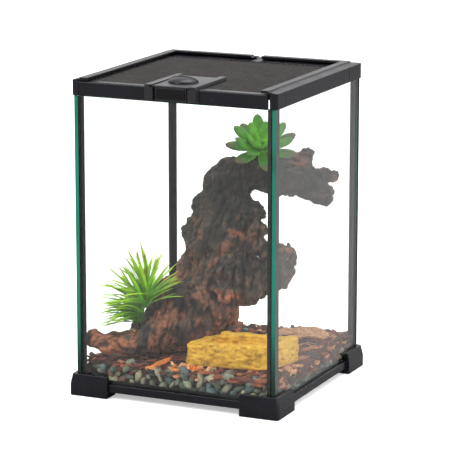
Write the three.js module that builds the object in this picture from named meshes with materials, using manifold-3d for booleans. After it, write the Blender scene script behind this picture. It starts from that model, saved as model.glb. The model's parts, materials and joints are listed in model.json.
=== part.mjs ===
// A small glass vivarium: five glued panes in a moulded frame with corner feet, a mesh lid that
// slides out of the top frame, a feeding hatch that slides in the lid, and the furnishings inside.
// Millimetres, +Z up, front at -Y. The origin is on the floor under the middle of the tank.

import * as THREE from 'three';
import * as BufferGeometryUtils from 'three/addons/utils/BufferGeometryUtils.js';
import Module from 'manifold-3d';

const wasm = await Module();
wasm.setup();

// Driving dimensions.
const GAP = 0.3;
const REACH = 150;

const GLASS = 4;
const GLASS_HALF = 100.4;
const GLASS_INNER = GLASS_HALF - GLASS;
const PANE_BOTTOM = 8;
const PANE_TOP = 289.9;
const FRONT_PANE_TOP = 282.7;
const SEAL_LEG = 4.7;
const SEAL_BOTTOM = PANE_BOTTOM + GLASS + GAP;

const FOOT_HALF = 106;
const FOOT_TOP_HALF = 104.2;
const FOOT_STEP_Z = 11;
const FOOT_HEIGHT = 20.5;
const FOOT_ARM_END = 67;
const FOOT_INNER = 88;
const CORNER_RADIUS = 3;

const BAR_HALF = 103;
const BAR_BOTTOM = 5.9;
const BAR_TOP = 13.3;
const BAR_SHELF = PANE_BOTTOM - GAP;
const FILLET_LEG = 4.2;

const TOP_HALF = 102;
const TOP_BOTTOM = 283;
const TOP_HEIGHT = 299.8;
const RAIL_OUTER_TOP = 297.2;
const RAIL_RIDGE = 93.8;
const RAIL_INNER = 86;
const GROOVE_WALL = 94.6;
const GROOVE_FLOOR = 292.2;
const GROOVE_TOP = 297.2;
const LEDGE_INNER = 88.5;
const LEDGE_BOTTOM = PANE_TOP + GAP;
const SKIRT_INNER = GLASS_HALF + GAP;
const FRONT_SEAM = -82.9;
const SIDE_SEAM = 69.8;
const BACK_SEAM = 71.7;
const POST_INNER = GROOVE_WALL + 0.2;
const NOTCH_X = -1;
const NOTCH_FLOOR = 295.2;
const NOTCH_FLOOR_HALF = 1.75;
const NOTCH_MOUTH_HALF = 6.4;

const LID_SHIFT = -0.8;
const LID_HALF = 93.5;
const LID_BOTTOM = 292.5;
const LID_TOP = 295.8;
const LID_BACK = 93.9;
const LID_BACK_BAR = 76;
const LID_FRONT_BAR = -93.3;
const FRONT_BAR_BOTTOM = 283.2;
const FRONT_BAR_TOP = 296.2;
const FRONT_BAR_WALL = 2.8;
const FRONT_BAR_CHAMFER = 0.8;
const SCREEN_SEAT = 2;
const SCREEN_BOTTOM = 294.4;
const SCREEN_TOP = 295.2;
const SCREEN_HALF = 87.2;

const COLLAR_HALF = 25.4;
const COLLAR_BACK = -38;
const WINDOW_HALF = 15.3;
const WINDOW_FRONT = -88;
const WINDOW_BACK = -46;
const PLATE_HALF = 20;
const PLATE_BOTTOM = FRONT_BAR_TOP + GAP;
const PLATE_TOP = 298;
const PLATE_BACK = -42;
const GUIDE_TOP = 298.8;
const GUIDE_LIP = 1.6;
const RIB_FRONT = -106;
const RIB_BACK = -102.3;
const RIB_BOTTOM = 284.5;
const RIB_INNER = 17.3;
const RIB_FLARE = 1.5;
const APRON_HALF = 15.6;
const APRON_FRONT = -104.6;
const BADGE_HALF = 14.2;
const BADGE_THICKNESS = 0.6;
const BADGE_BOTTOM = 285.8;
const BADGE_TOP = 295.7;
const TAB_WALL_Y = -76;
const TAB_RIM = 1.6;
const TAB_DOME = [14.5, 15, 4.8];
const TAB_RIM_DOME = [15.1, 15, 5.4];

const BED_HALF = 95.7;
const BED_CORNER = 9;
const GRAVEL_TOP = 26.7;
const CHIPS_BOTTOM = GRAVEL_TOP + GAP;
const CHIPS_LEVEL = 31;
const CHIPS_GRID = 14;
const FURNITURE_FLOOR = 31.6;
const DISH_TOP = 54.6;
const DISH_WELL = 39;
const DISH_DIP = 3;
const DISH_DIP_END = 19;

const root = new THREE.Group();

// Shared helpers.

function solidOf(geometry) {
  const bare = geometry.clone();
  bare.deleteAttribute('normal');
  bare.deleteAttribute('uv');
  const merged = BufferGeometryUtils.mergeVertices(bare, 1e-4);
  const mesh = new wasm.Mesh({
    numProp: 3,
    vertProperties: new Float32Array(merged.attributes.position.array),
    triVerts: new Uint32Array(merged.index.array),
  });
  return new wasm.Manifold(mesh);
}

function geometryOf(solid) {
  const mesh = solid.getMesh();
  const geometry = new THREE.BufferGeometry();
  geometry.setAttribute('position', new THREE.BufferAttribute(new Float32Array(mesh.vertProperties), 3));
  geometry.setIndex(new THREE.BufferAttribute(new Uint32Array(mesh.triVerts), 1));
  geometry.computeVertexNormals();
  return geometry;
}

function block(xs, ys, zs) {
  const [x0, x1] = [Math.min(...xs), Math.max(...xs)];
  const [y0, y1] = [Math.min(...ys), Math.max(...ys)];
  const [z0, z1] = zs;
  const geometry = new THREE.BoxGeometry(x1 - x0, y1 - y0, z1 - z0);
  return geometry.translate((x0 + x1) / 2, (y0 + y1) / 2, (z0 + z1) / 2);
}

function shapeOf(points) {
  return new THREE.Shape(points.map(([a, b]) => new THREE.Vector2(a, b)));
}

function extruded(shape, depth, curveSegments = 6) {
  return new THREE.ExtrudeGeometry(shape, { depth, bevelEnabled: false, curveSegments });
}

// A section drawn in X and Z, run along Y.
function alongY(points, y0, y1) {
  return extruded(shapeOf(points), y1 - y0).rotateX(Math.PI / 2).translate(0, y1, 0);
}

// A section drawn in Y and Z, run along X.
function alongX(points, x0, x1) {
  return extruded(shapeOf(points), x1 - x0).rotateX(Math.PI / 2).rotateZ(Math.PI / 2).translate(x0, 0, 0);
}

function upright(shape, z0, z1) {
  return extruded(shape, z1 - z0).translate(0, 0, z0);
}

function mirrored(points, side) {
  return points.map(([u, z]) => [side * u, z]);
}

function roundedSquare(half, radius) {
  const shape = new THREE.Shape();
  const inner = half - radius;
  shape.absarc(inner, inner, radius, 0, Math.PI / 2);
  shape.absarc(-inner, inner, radius, Math.PI / 2, Math.PI);
  shape.absarc(-inner, -inner, radius, Math.PI, 1.5 * Math.PI);
  shape.absarc(inner, -inner, radius, 1.5 * Math.PI, 2 * Math.PI);
  return shape;
}

// A rounded square block whose top is narrower than its bottom.
function taperedBlock(half, topHalf, z0, z1) {
  const geometry = upright(roundedSquare(half, CORNER_RADIUS), z0, z1);
  const position = geometry.attributes.position;
  for (let i = 0; i < position.count; i += 1) {
    if (position.getZ(i) > (z0 + z1) / 2) {
      position.setX(i, position.getX(i) * topHalf / half);
      position.setY(i, position.getY(i) * topHalf / half);
    }
  }
  return geometry;
}

function octagon(half, cut) {
  const flat = half - cut;
  return shapeOf([
    [half, -flat], [half, flat], [flat, half], [-flat, half],
    [-half, flat], [-half, -flat], [-flat, -half], [flat, -half],
  ]);
}

function ellipsoid([x, y, z], [rx, ry, rz], around = 14, up = 10) {
  return new THREE.SphereGeometry(1, around, up).rotateX(Math.PI / 2).scale(rx, ry, rz).translate(x, y, z);
}

function joined(geometries) {
  return geometries.map(solidOf).reduce((whole, piece) => whole.add(piece));
}

function material(color, roughness, metalness = 0, opacity = 1) {
  return new THREE.MeshStandardMaterial({ color, roughness, metalness, opacity, transparent: opacity < 1 });
}

function place(parent, name, geometry, look) {
  const mesh = new THREE.Mesh(geometry, look());
  mesh.name = name;
  parent.add(mesh);
  return mesh;
}

// Finishes. Each mesh gets a material of its own.
const blackPlastic = () => material(0x2b2b31, 0.45);
const clearGlass = () => material(0xbfe3d8, 0.05, 0, 0.3);
const silicone = () => material(0x161616, 0.55);
const screenWire = () => material(0x4a4745, 0.5, 0.6);
const blankBadge = () => material(0x1d1d20, 0.3);
const riverPebble = () => material(0x8d8f80, 0.7);
const pineBark = () => material(0x8f4a35, 0.9);
const driftedWood = () => material(0x5a3a2d, 0.85);
const grassPlastic = () => material(0x86b83a, 0.5);
const succulentPlastic = () => material(0x6fae43, 0.45);
const resinRock = () => material(0xe0b84d, 0.8);

const SIDES = [['left', -1], ['right', 1]];
const ENDS = [['front', -1], ['back', 1]];

// Base: corner feet, bars between them.

function footPlan(sx, sy) {
  const outer = FOOT_HALF + 1;
  const plan = [
    [FOOT_ARM_END, outer], [outer, outer], [outer, FOOT_ARM_END],
    [FOOT_INNER, FOOT_ARM_END], [FOOT_INNER, FOOT_INNER], [FOOT_ARM_END, FOOT_INNER],
  ];
  return shapeOf(plan.map(([x, y]) => [sx * x, sy * y]));
}

function foot(sx, sy) {
  const lower = solidOf(taperedBlock(FOOT_HALF, FOOT_HALF, 0, FOOT_STEP_Z));
  const upper = solidOf(taperedBlock(FOOT_HALF, FOOT_TOP_HALF, FOOT_STEP_Z, FOOT_HEIGHT));
  const span = [-SKIRT_INNER, SKIRT_INNER];
  const tankSpace = solidOf(block(span, span, [BAR_SHELF, REACH]));
  const arms = solidOf(upright(footPlan(sx, sy), 0, FOOT_HEIGHT));
  return geometryOf(lower.add(upper).intersect(arms).subtract(tankSpace));
}

function barSection() {
  return [
    [BAR_HALF, BAR_BOTTOM], [BAR_HALF, BAR_TOP], [SKIRT_INNER, BAR_TOP], [SKIRT_INNER, BAR_SHELF],
    [FOOT_INNER, BAR_SHELF], [FOOT_INNER, BAR_BOTTOM],
  ];
}

function addBase() {
  for (const [end, sy] of ENDS) {
    for (const [side, sx] of SIDES) {
      place(root, `foot_${end}_${side}`, foot(sx, sy), blackPlastic);
    }
  }
  const reach = FOOT_ARM_END - GAP;
  for (const [end, sy] of ENDS) {
    place(root, `base_bar_${end}`, alongX(mirrored(barSection(), sy), -reach, reach), blackPlastic);
  }
  for (const [side, sx] of SIDES) {
    place(root, `base_bar_${side}`, alongY(mirrored(barSection(), sx), -reach, reach), blackPlastic);
  }
}

// Glass: the side panes run to the front face, the back pane covers their ends.

function addGlass() {
  const fitted = GLASS_INNER - GAP;
  for (const [side, sx] of SIDES) {
    const pane = block([sx * GLASS_INNER, sx * GLASS_HALF], [-GLASS_HALF, fitted], [PANE_BOTTOM, PANE_TOP]);
    place(root, `glass_${side}`, pane, clearGlass);
  }
  const front = block([-fitted, fitted], [-GLASS_HALF, -GLASS_INNER], [PANE_BOTTOM, FRONT_PANE_TOP]);
  place(root, 'glass_front', front, clearGlass);
  const back = block([-GLASS_HALF, GLASS_HALF], [GLASS_INNER, GLASS_HALF], [PANE_BOTTOM, PANE_TOP]);
  place(root, 'glass_back', back, clearGlass);
  const base = block([-fitted, fitted], [-fitted, fitted], [PANE_BOTTOM, PANE_BOTTOM + GLASS]);
  place(root, 'glass_base', base, clearGlass);
}

// Silicone: a hollow-faced bead in each upright corner and a fillet along each edge of the base pane.

function sealPlan(sx, sy) {
  const corner = GLASS_INNER - GAP;
  const leg = corner - SEAL_LEG;
  const waist = corner - SEAL_LEG * 0.3;
  const shape = new THREE.Shape();
  shape.moveTo(sx * corner, sy * corner);
  shape.lineTo(sx * leg, sy * corner);
  shape.quadraticCurveTo(sx * waist, sy * waist, sx * corner, sy * leg);
  return shape;
}

function filletSection() {
  const wall = GLASS_INNER - GAP;
  return [
    [wall, SEAL_BOTTOM], [wall, SEAL_BOTTOM + FILLET_LEG],
    [wall - 0.25 * FILLET_LEG, SEAL_BOTTOM + 0.5 * FILLET_LEG],
    [wall - 0.5 * FILLET_LEG, SEAL_BOTTOM + 0.25 * FILLET_LEG], [wall - FILLET_LEG, SEAL_BOTTOM],
  ];
}

function addSeals() {
  for (const [end, sy] of ENDS) {
    const top = sy < 0 ? FRONT_PANE_TOP - GAP : PANE_TOP - GAP;
    for (const [side, sx] of SIDES) {
      place(root, `seal_${end}_${side}`, upright(sealPlan(sx, sy), SEAL_BOTTOM, top), silicone);
    }
  }
  const reach = GLASS_INNER - GAP - SEAL_LEG - GAP;
  for (const [end, sy] of ENDS) {
    place(root, `seal_base_${end}`, alongX(mirrored(filletSection(), sy), -reach, reach), silicone);
  }
  for (const [side, sx] of SIDES) {
    place(root, `seal_base_${side}`, alongY(mirrored(filletSection(), sx), -reach, reach), silicone);
  }
}

// Top frame: a groove for the lid under an overhanging lip, closed at the back and open at the front.

function railSection() {
  return [
    [TOP_HALF, TOP_BOTTOM], [TOP_HALF, RAIL_OUTER_TOP], [RAIL_RIDGE, RAIL_OUTER_TOP + 1.4],
    [RAIL_RIDGE - 0.4, TOP_HEIGHT], [RAIL_INNER, TOP_HEIGHT], [RAIL_INNER, GROOVE_TOP],
    [GROOVE_WALL, GROOVE_TOP], [GROOVE_WALL, GROOVE_FLOOR], [LEDGE_INNER, GROOVE_FLOOR],
    [LEDGE_INNER, LEDGE_BOTTOM], [SKIRT_INNER, LEDGE_BOTTOM], [SKIRT_INNER, TOP_BOTTOM],
  ];
}

function topOutline() {
  return solidOf(upright(roundedSquare(TOP_HALF, CORNER_RADIUS), TOP_BOTTOM - 1, TOP_HEIGHT + 1));
}

function frontCorner(sx) {
  const rail = solidOf(alongY(mirrored(railSection(), sx), -TOP_HALF, FRONT_SEAM));
  const postWidth = [sx * POST_INNER, sx * TOP_HALF];
  const post = solidOf(block(postWidth, [-TOP_HALF, -SKIRT_INNER], [TOP_BOTTOM, GROOVE_FLOOR]));
  const barRoom = [-REACH, LID_FRONT_BAR + GAP];
  const barSpace = solidOf(block([0, sx * GROOVE_WALL], barRoom, [TOP_BOTTOM - 1, GROOVE_TOP]));
  return geometryOf(rail.subtract(barSpace).add(post).intersect(topOutline()));
}

function mitreSpace(points) {
  return solidOf(upright(shapeOf(points), TOP_BOTTOM - 1, TOP_HEIGHT + 1));
}

function backCorner(sx) {
  const sideRun = solidOf(alongY(mirrored(railSection(), sx), SIDE_SEAM, TOP_HALF));
  const xs = [sx * BACK_SEAM, sx * TOP_HALF];
  const backRun = solidOf(alongX(railSection(), Math.min(...xs), Math.max(...xs)));
  const sideHalf = mitreSpace([[0, 0], [sx * REACH, 0], [sx * REACH, REACH]]);
  const backHalf = mitreSpace([[0, 0], [sx * REACH, REACH], [0, REACH]]);
  const mitred = sideRun.intersect(sideHalf).add(backRun.intersect(backHalf));
  return geometryOf(mitred.intersect(topOutline()));
}

function backRail() {
  const reach = BACK_SEAM - GAP;
  const rail = solidOf(alongX(railSection(), -reach, reach));
  const mouth = TOP_HEIGHT + 0.4;
  const notch = alongY([
    [NOTCH_X - NOTCH_FLOOR_HALF, NOTCH_FLOOR], [NOTCH_X + NOTCH_FLOOR_HALF, NOTCH_FLOOR],
    [NOTCH_X + NOTCH_MOUTH_HALF, mouth], [NOTCH_X - NOTCH_MOUTH_HALF, mouth],
  ], RAIL_INNER - 4, TOP_HALF + 4);
  return geometryOf(rail.subtract(solidOf(notch)));
}

function addTopFrame() {
  for (const [side, sx] of SIDES) {
    place(root, `top_corner_front_${side}`, frontCorner(sx), blackPlastic);
    place(root, `top_corner_back_${side}`, backCorner(sx), blackPlastic);
    const rail = alongY(mirrored(railSection(), sx), FRONT_SEAM + GAP, SIDE_SEAM - GAP);
    place(root, `top_rail_${side}`, rail, blackPlastic);
  }
  place(root, 'top_rail_back', backRail(), blackPlastic);
}

// Lid: a moulded frame round a wire screen, with a framed window at the front.

function addLid() {
  const lid = new THREE.Group();
  lid.position.x = LID_SHIFT;
  root.add(lid);

  place(lid, 'lid_front_bar', alongX(frontBarSection(), -LID_HALF, LID_HALF), blackPlastic);
  const sideEnds = [LID_FRONT_BAR + GAP, LID_BACK_BAR - GAP];
  for (const [side, sx] of SIDES) {
    const bar = alongY(mirrored(sideBarSection(), sx), ...sideEnds);
    place(lid, `lid_side_bar_${side}`, bar, blackPlastic);
    place(lid, `hatch_guide_${side}`, hatchGuide(sx), blackPlastic);
  }
  const backBar = block([-LID_HALF, LID_HALF], [LID_BACK_BAR, LID_BACK], [LID_BOTTOM, LID_TOP]);
  place(lid, 'lid_back_bar', backBar, blackPlastic);

  const screen = solidOf(block([-SCREEN_HALF, SCREEN_HALF], sideEnds, [SCREEN_BOTTOM, SCREEN_TOP]));
  const roomHalf = COLLAR_HALF + GAP;
  const collarRoom = block([-roomHalf, roomHalf], [-REACH, COLLAR_BACK + GAP], [LID_BOTTOM, LID_TOP]);
  place(lid, 'mesh_screen', geometryOf(screen.subtract(solidOf(collarRoom))), screenWire);

  const collarDepth = [sideEnds[0], COLLAR_BACK];
  const collar = solidOf(block([-COLLAR_HALF, COLLAR_HALF], collarDepth, [LID_BOTTOM, FRONT_BAR_TOP]));
  const windowDepth = [WINDOW_FRONT, WINDOW_BACK];
  const feedWindow = block([-WINDOW_HALF, WINDOW_HALF], windowDepth, [LID_BOTTOM - 1, FRONT_BAR_TOP + 1]);
  place(lid, 'window_collar', geometryOf(collar.subtract(solidOf(feedWindow))), blackPlastic);

  addHatch(lid);
}

function frontBarSection() {
  const face = -TOP_HALF;
  const shelf = LID_BOTTOM + 0.4;
  return [
    [face, FRONT_BAR_BOTTOM], [face, FRONT_BAR_TOP - FRONT_BAR_CHAMFER],
    [face + FRONT_BAR_CHAMFER, FRONT_BAR_TOP], [LID_FRONT_BAR, FRONT_BAR_TOP], [LID_FRONT_BAR, shelf],
    [face + FRONT_BAR_WALL, shelf], [face + FRONT_BAR_WALL, FRONT_BAR_BOTTOM],
  ];
}

function sideBarSection() {
  const wall = SCREEN_HALF + GAP;
  const seatEdge = SCREEN_HALF - SCREEN_SEAT;
  const seatTop = SCREEN_BOTTOM - GAP;
  return [
    [LID_HALF, LID_BOTTOM], [LID_HALF, LID_TOP], [wall, LID_TOP],
    [wall, seatTop], [seatEdge, seatTop], [seatEdge, LID_BOTTOM],
  ];
}

// A guide holds the hatch plate's edge under a small overhang. Its front end turns down as a rib.
function hatchGuide(sx) {
  const wall = PLATE_HALF + GAP;
  const lip = PLATE_HALF - GUIDE_LIP;
  const section = [
    [wall, PLATE_BOTTOM], [COLLAR_HALF, PLATE_BOTTOM], [COLLAR_HALF - 0.4, GUIDE_TOP],
    [lip, GUIDE_TOP], [lip, PLATE_TOP + GAP], [wall, PLATE_TOP + GAP],
  ];
  const rail = solidOf(alongY(mirrored(section, sx), RIB_FRONT, COLLAR_BACK));
  const ribPlan = shapeOf([
    [sx * RIB_INNER, RIB_FRONT], [sx * COLLAR_HALF, RIB_FRONT],
    [sx * (COLLAR_HALF + RIB_FLARE), RIB_BACK], [sx * RIB_INNER, RIB_BACK],
  ]);
  const ribLow = solidOf(upright(ribPlan, RIB_BOTTOM, FRONT_BAR_TOP));
  const neckHeight = [FRONT_BAR_TOP - 1, PLATE_BOTTOM + 1];
  const neck = solidOf(block([sx * wall, sx * COLLAR_HALF], [RIB_FRONT, RIB_BACK], neckHeight));
  return geometryOf(rail.add(ribLow).add(neck));
}

// Feeding hatch: a plate in the guides with an apron over the front bar, a blank badge and a finger tab.
function addHatch(lid) {
  const plateHeight = [PLATE_BOTTOM, PLATE_TOP];
  const plate = solidOf(block([-PLATE_HALF, PLATE_HALF], [APRON_FRONT, PLATE_BACK], plateHeight));
  const apronHeight = [RIB_BOTTOM, PLATE_BOTTOM + 1];
  const apron = solidOf(block([-APRON_HALF, APRON_HALF], [APRON_FRONT, RIB_BACK], apronHeight));
  place(lid, 'feeding_hatch', geometryOf(plate.add(apron)), blackPlastic);

  const badgeBack = APRON_FRONT - GAP;
  const badgeDepth = [badgeBack - BADGE_THICKNESS, badgeBack];
  const badge = block([-BADGE_HALF, BADGE_HALF], badgeDepth, [BADGE_BOTTOM, BADGE_TOP]);
  place(lid, 'badge_plate', badge, blankBadge);
  place(lid, 'hatch_finger_tab', geometryOf(fingerTab()), blackPlastic);
}

// Half a low dome with a raised rim along its upright back wall.
function fingerTab() {
  const base = PLATE_TOP + GAP;
  const centre = [0, TAB_WALL_Y, base];
  const dome = solidOf(ellipsoid(centre, TAB_DOME, 28, 16));
  const rim = solidOf(ellipsoid(centre, TAB_RIM_DOME, 28, 16));
  const width = [-PLATE_HALF, PLATE_HALF];
  const height = [base, base + 2 * TAB_DOME[2]];
  const frontHalf = solidOf(block(width, [APRON_FRONT, TAB_WALL_Y], height));
  const rimSlice = solidOf(block(width, [TAB_WALL_Y - TAB_RIM, TAB_WALL_Y], height));
  return dome.intersect(frontHalf).add(rim.intersect(rimSlice));
}

// Furnishings: plain closed solids that hold each one's place.

function addGravel() {
  const lower = upright(octagon(BED_HALF - 5, BED_CORNER), SEAL_BOTTOM, SEAL_BOTTOM + 5);
  const upper = upright(octagon(BED_HALF, BED_CORNER), SEAL_BOTTOM + 4.6, GRAVEL_TOP);
  place(root, 'gravel_bed', geometryOf(joined([lower, upper])), riverPebble);
}

// Each mound of chips: its height, its centre and its half widths.
const CHIP_MOUNDS = [
  [6.5, 45, 88, 38, 30],
  [4, -88, -86, 18, 14],
];

function chipsHeight(x, y) {
  let height = CHIPS_LEVEL;
  for (const [rise, cx, cy, wx, wy] of CHIP_MOUNDS) {
    height += rise * Math.exp(-(((x - cx) / wx) ** 2) - ((y - cy) / wy) ** 2);
  }
  return height;
}

function addChips() {
  const side = 2 * BED_HALF;
  const depth = CHIPS_LEVEL - CHIPS_BOTTOM;
  const middle = CHIPS_BOTTOM + depth / 2;
  const layer = new THREE.BoxGeometry(side, side, depth, CHIPS_GRID, CHIPS_GRID, 1).translate(0, 0, middle);
  const position = layer.attributes.position;
  for (let i = 0; i < position.count; i += 1) {
    if (position.getZ(i) > middle) {
      position.setZ(i, chipsHeight(position.getX(i), position.getY(i)));
    }
  }
  const outline = upright(octagon(BED_HALF, BED_CORNER), CHIPS_BOTTOM - 1, REACH);
  place(root, 'bark_chips', geometryOf(solidOf(layer).intersect(solidOf(outline))), pineBark);
}

// Each lump of the driftwood: its centre and its three radii.
const DRIFTWOOD_LUMPS = [
  [[-87, -86, 51], [8, 7, 9]],
  [[-76, -82, 47], [12, 9, 11]],
  [[-60, -72, 46], [17, 13, 13]],
  [[-46, -54, 50], [20, 18, 18]],
  [[-37, -36, 58], [28, 22, 25]],
  [[-30, -18, 44], [31, 26, 16]],
  [[-28, -18, 80], [33, 25, 27]],
  [[-5, -5, 68], [26, 22, 20]],
  [[0, 0, 108], [44, 26, 27]],
  [[27, 0, 91], [23, 21, 14]],
  [[2, 4, 140], [42, 23, 25]],
  [[2, 8, 165], [34, 21, 21]],
  [[2, 12, 186], [24, 19, 19]],
  [[14, 16, 203], [22, 17, 12]],
  [[34, 22, 200], [26, 17, 18]],
  [[58, 32, 200], [24, 16, 19]],
  [[74, 40, 190], [17, 13, 16]],
  [[82, 45, 177], [11, 9, 12]],
  [[84, 51, 198], [10, 7, 6]],
  [[70, 35, 216], [7, 6, 11]],
  [[53, 4, 112], [13, 8, 22]],
  [[65, 7, 129], [6, 6, 10]],
];

// Each plant's stem: where it stands, its radius, its foot and its top. The driftwood has a hole for it.
const SUCCULENT_STEM = [[34.5, 11.2], 4, 206, 224];
const GRASS_STEM = [[-58, -60.5], 2.6, 54, 72];

function stem([[x, y], radius, foot, top], slack = 0) {
  const length = top - foot + 2 * slack;
  return new THREE.CylinderGeometry(radius + slack, radius + slack, length, 16)
    .rotateX(Math.PI / 2).translate(x, y, (top + foot) / 2);
}

function addDriftwood() {
  const lumps = joined(DRIFTWOOD_LUMPS.map(([centre, radii]) => ellipsoid(centre, radii, 16, 10)));
  const span = [-REACH, REACH];
  const aboveChips = solidOf(block(span, span, [FURNITURE_FLOOR, REACH * 2]));
  const holes = joined([stem(SUCCULENT_STEM, GAP), stem(GRASS_STEM, GAP)]);
  place(root, 'driftwood', geometryOf(lumps.intersect(aboveChips).subtract(holes)), driftedWood);
}

// A leaf as a slim ellipsoid from the plant's heart to its tip.
function leaf(heart, tip, width, thickness) {
  const start = new THREE.Vector3(...heart);
  const end = new THREE.Vector3(...tip);
  const length = start.distanceTo(end);
  const turn = new THREE.Quaternion().setFromUnitVectors(
    new THREE.Vector3(0, 0, 1), end.clone().sub(start).normalize(),
  );
  const middle = start.add(end).multiplyScalar(0.5);
  return ellipsoid([0, 0, 0], [width / 2, thickness / 2, length / 2 + 3], 10, 8)
    .applyQuaternion(turn).translate(middle.x, middle.y, middle.z);
}

const SUCCULENT_HEART = [34.5, 11.2, 226];
const SUCCULENT_TIPS = [
  [5.5, -1, 223], [8.5, 9, 240], [14.5, 17, 251], [30.5, 12, 256], [43.5, 22, 255], [55.5, 26, 249],
  [68.5, 22, 237], [65.5, 6, 223], [51.5, -12, 225], [34.5, -17, 214], [15.5, -12, 229], [29.5, 28, 247],
];

const GRASS_HEART = [-59, -60, 72];
const GRASS_TIPS = [
  [-90, -66, 108], [-84, -58, 124], [-70, -62, 130], [-62, -54, 134], [-49, -52, 133], [-38, -56, 124],
  [-28, -52, 108], [-88, -74, 90], [-86, -72, 72], [-52, -78, 104], [-68, -80, 106],
];

function addPlants() {
  const crown = ellipsoid(SUCCULENT_HEART, [9, 8, 5]);
  const rosette = SUCCULENT_TIPS.map((tip) => leaf(SUCCULENT_HEART, tip, 13, 8));
  const succulent = joined([crown, stem(SUCCULENT_STEM), ...rosette]);
  place(root, 'succulent_plant', geometryOf(succulent), succulentPlastic);

  const tuft = ellipsoid(GRASS_HEART, [5, 5, 5]);
  const blades = GRASS_TIPS.map((tip) => leaf(GRASS_HEART, tip, 9, 6));
  place(root, 'grass_plant', geometryOf(joined([tuft, stem(GRASS_STEM), ...blades])), grassPlastic);
}

// Feeding dish: a rough block with a shallow well, lower at its left end.

const DISH_PLAN = [[2, -68], [8, -73], [70, -61], [77, -56], [86, -18], [81, -12], [14, -22], [7, -27]];
const DISH_WELL_PLAN = [[12, -64], [68, -52], [76, -22], [17, -31]];

function addDish() {
  const body = solidOf(upright(shapeOf(DISH_PLAN), FURNITURE_FLOOR, DISH_TOP));
  const well = solidOf(upright(shapeOf(DISH_WELL_PLAN), DISH_WELL, DISH_TOP + 1));
  const dip = solidOf(block([0, DISH_DIP_END], [-BED_HALF, 0], [DISH_TOP - DISH_DIP, DISH_TOP + 1]));
  place(root, 'feeding_dish', geometryOf(body.subtract(well).subtract(dip)), resinRock);
}

addBase();
addGlass();
addSeals();
addTopFrame();
addLid();
addGravel();
addChips();
addDriftwood();
addPlants();
addDish();

export default root;
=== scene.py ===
"""A small glass vivarium: framed glass tank, sliding mesh lid with a feeding hatch, and its furnishings."""

import json
import math
import random

import bmesh
import bpy
from mathutils import Euler, Matrix, Vector, noise

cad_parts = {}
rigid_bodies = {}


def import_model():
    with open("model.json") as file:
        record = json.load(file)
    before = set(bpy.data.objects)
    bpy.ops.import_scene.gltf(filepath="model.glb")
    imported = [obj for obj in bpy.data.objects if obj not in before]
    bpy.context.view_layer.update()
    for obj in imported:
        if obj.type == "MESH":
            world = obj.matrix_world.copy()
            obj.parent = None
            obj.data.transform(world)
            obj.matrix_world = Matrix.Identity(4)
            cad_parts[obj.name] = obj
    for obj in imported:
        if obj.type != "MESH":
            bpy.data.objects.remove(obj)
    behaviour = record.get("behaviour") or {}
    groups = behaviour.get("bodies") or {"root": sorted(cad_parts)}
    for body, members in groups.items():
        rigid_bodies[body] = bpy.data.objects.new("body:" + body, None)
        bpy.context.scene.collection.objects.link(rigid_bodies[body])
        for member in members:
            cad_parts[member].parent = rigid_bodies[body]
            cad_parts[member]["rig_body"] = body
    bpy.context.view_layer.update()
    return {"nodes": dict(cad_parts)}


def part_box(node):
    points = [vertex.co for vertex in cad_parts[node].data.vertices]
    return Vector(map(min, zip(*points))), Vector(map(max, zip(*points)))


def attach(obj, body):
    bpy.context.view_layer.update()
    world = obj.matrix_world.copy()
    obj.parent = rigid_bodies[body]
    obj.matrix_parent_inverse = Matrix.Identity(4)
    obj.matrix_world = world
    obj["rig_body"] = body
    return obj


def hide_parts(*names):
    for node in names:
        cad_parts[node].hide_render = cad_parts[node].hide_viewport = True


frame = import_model()

MM = 0.001
FULL_TURN = 2 * math.pi
SIDES = (("left", -1), ("right", 1))
ENDS = (("front", -1), ("back", 1))

# No stone or chip reaches further than this from the middle, in millimetres, so all stay inside the panes.
STONE_LIMIT = 95.4
CHIP_LIMIT = 94.8


# ---------------------------------------------------------------- shared helpers


def mm(*values):
    """A vector in metres from millimetres."""
    return Vector(values) * MM


def within(value, low=0.0, high=1.0):
    """The value, held between two limits."""
    return max(low, min(high, value))


def shade(code):
    """A linear colour from an sRGB hex value."""
    parts = [int(code[i:i + 2], 16) / 255 for i in (1, 3, 5)]
    return tuple(c / 12.92 if c <= 0.04045 else ((c + 0.055) / 1.055) ** 2.4 for c in parts) + (1.0,)


def add(tree, kind, inputs=None, stops=None, **settings):
    """Adds a node. Its inputs take values or the sockets that feed them, and stops fill a colour ramp."""
    made = tree.nodes.new(kind)
    for key, value in settings.items():
        setattr(made, key, value)
    for key, value in (inputs or {}).items():
        if isinstance(value, bpy.types.NodeSocket):
            tree.links.new(value, made.inputs[key])
        else:
            made.inputs[key].default_value = value
    if stops:
        elements = made.color_ramp.elements
        while len(elements) > 1:
            elements.remove(elements[-1])
        for i, (place, colour) in enumerate(stops):
            element = elements[0] if i == 0 else elements.new(place)
            element.position = place
            element.color = colour
    return made


def new_material(name):
    """An empty node material and its tree, with an output ready to link."""
    made = bpy.data.materials.new(name)
    made.use_nodes = True
    made.node_tree.nodes.clear()
    return made, made.node_tree


def finish_material(tree, surface):
    """Links a surface shader to the material's output."""
    output = tree.nodes.new("ShaderNodeOutputMaterial")
    tree.links.new(surface, output.inputs["Surface"])


def piece(name, bm, body, looks, nodes=(), smooth=True, sharp_angle=None):
    """Turns a bmesh into a finished piece that rides on a body and stands for the CAD nodes given."""
    mesh = mesh_of(bm, name)
    return piece_of_mesh(name, mesh, body, looks, nodes, smooth, sharp_angle)


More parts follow.
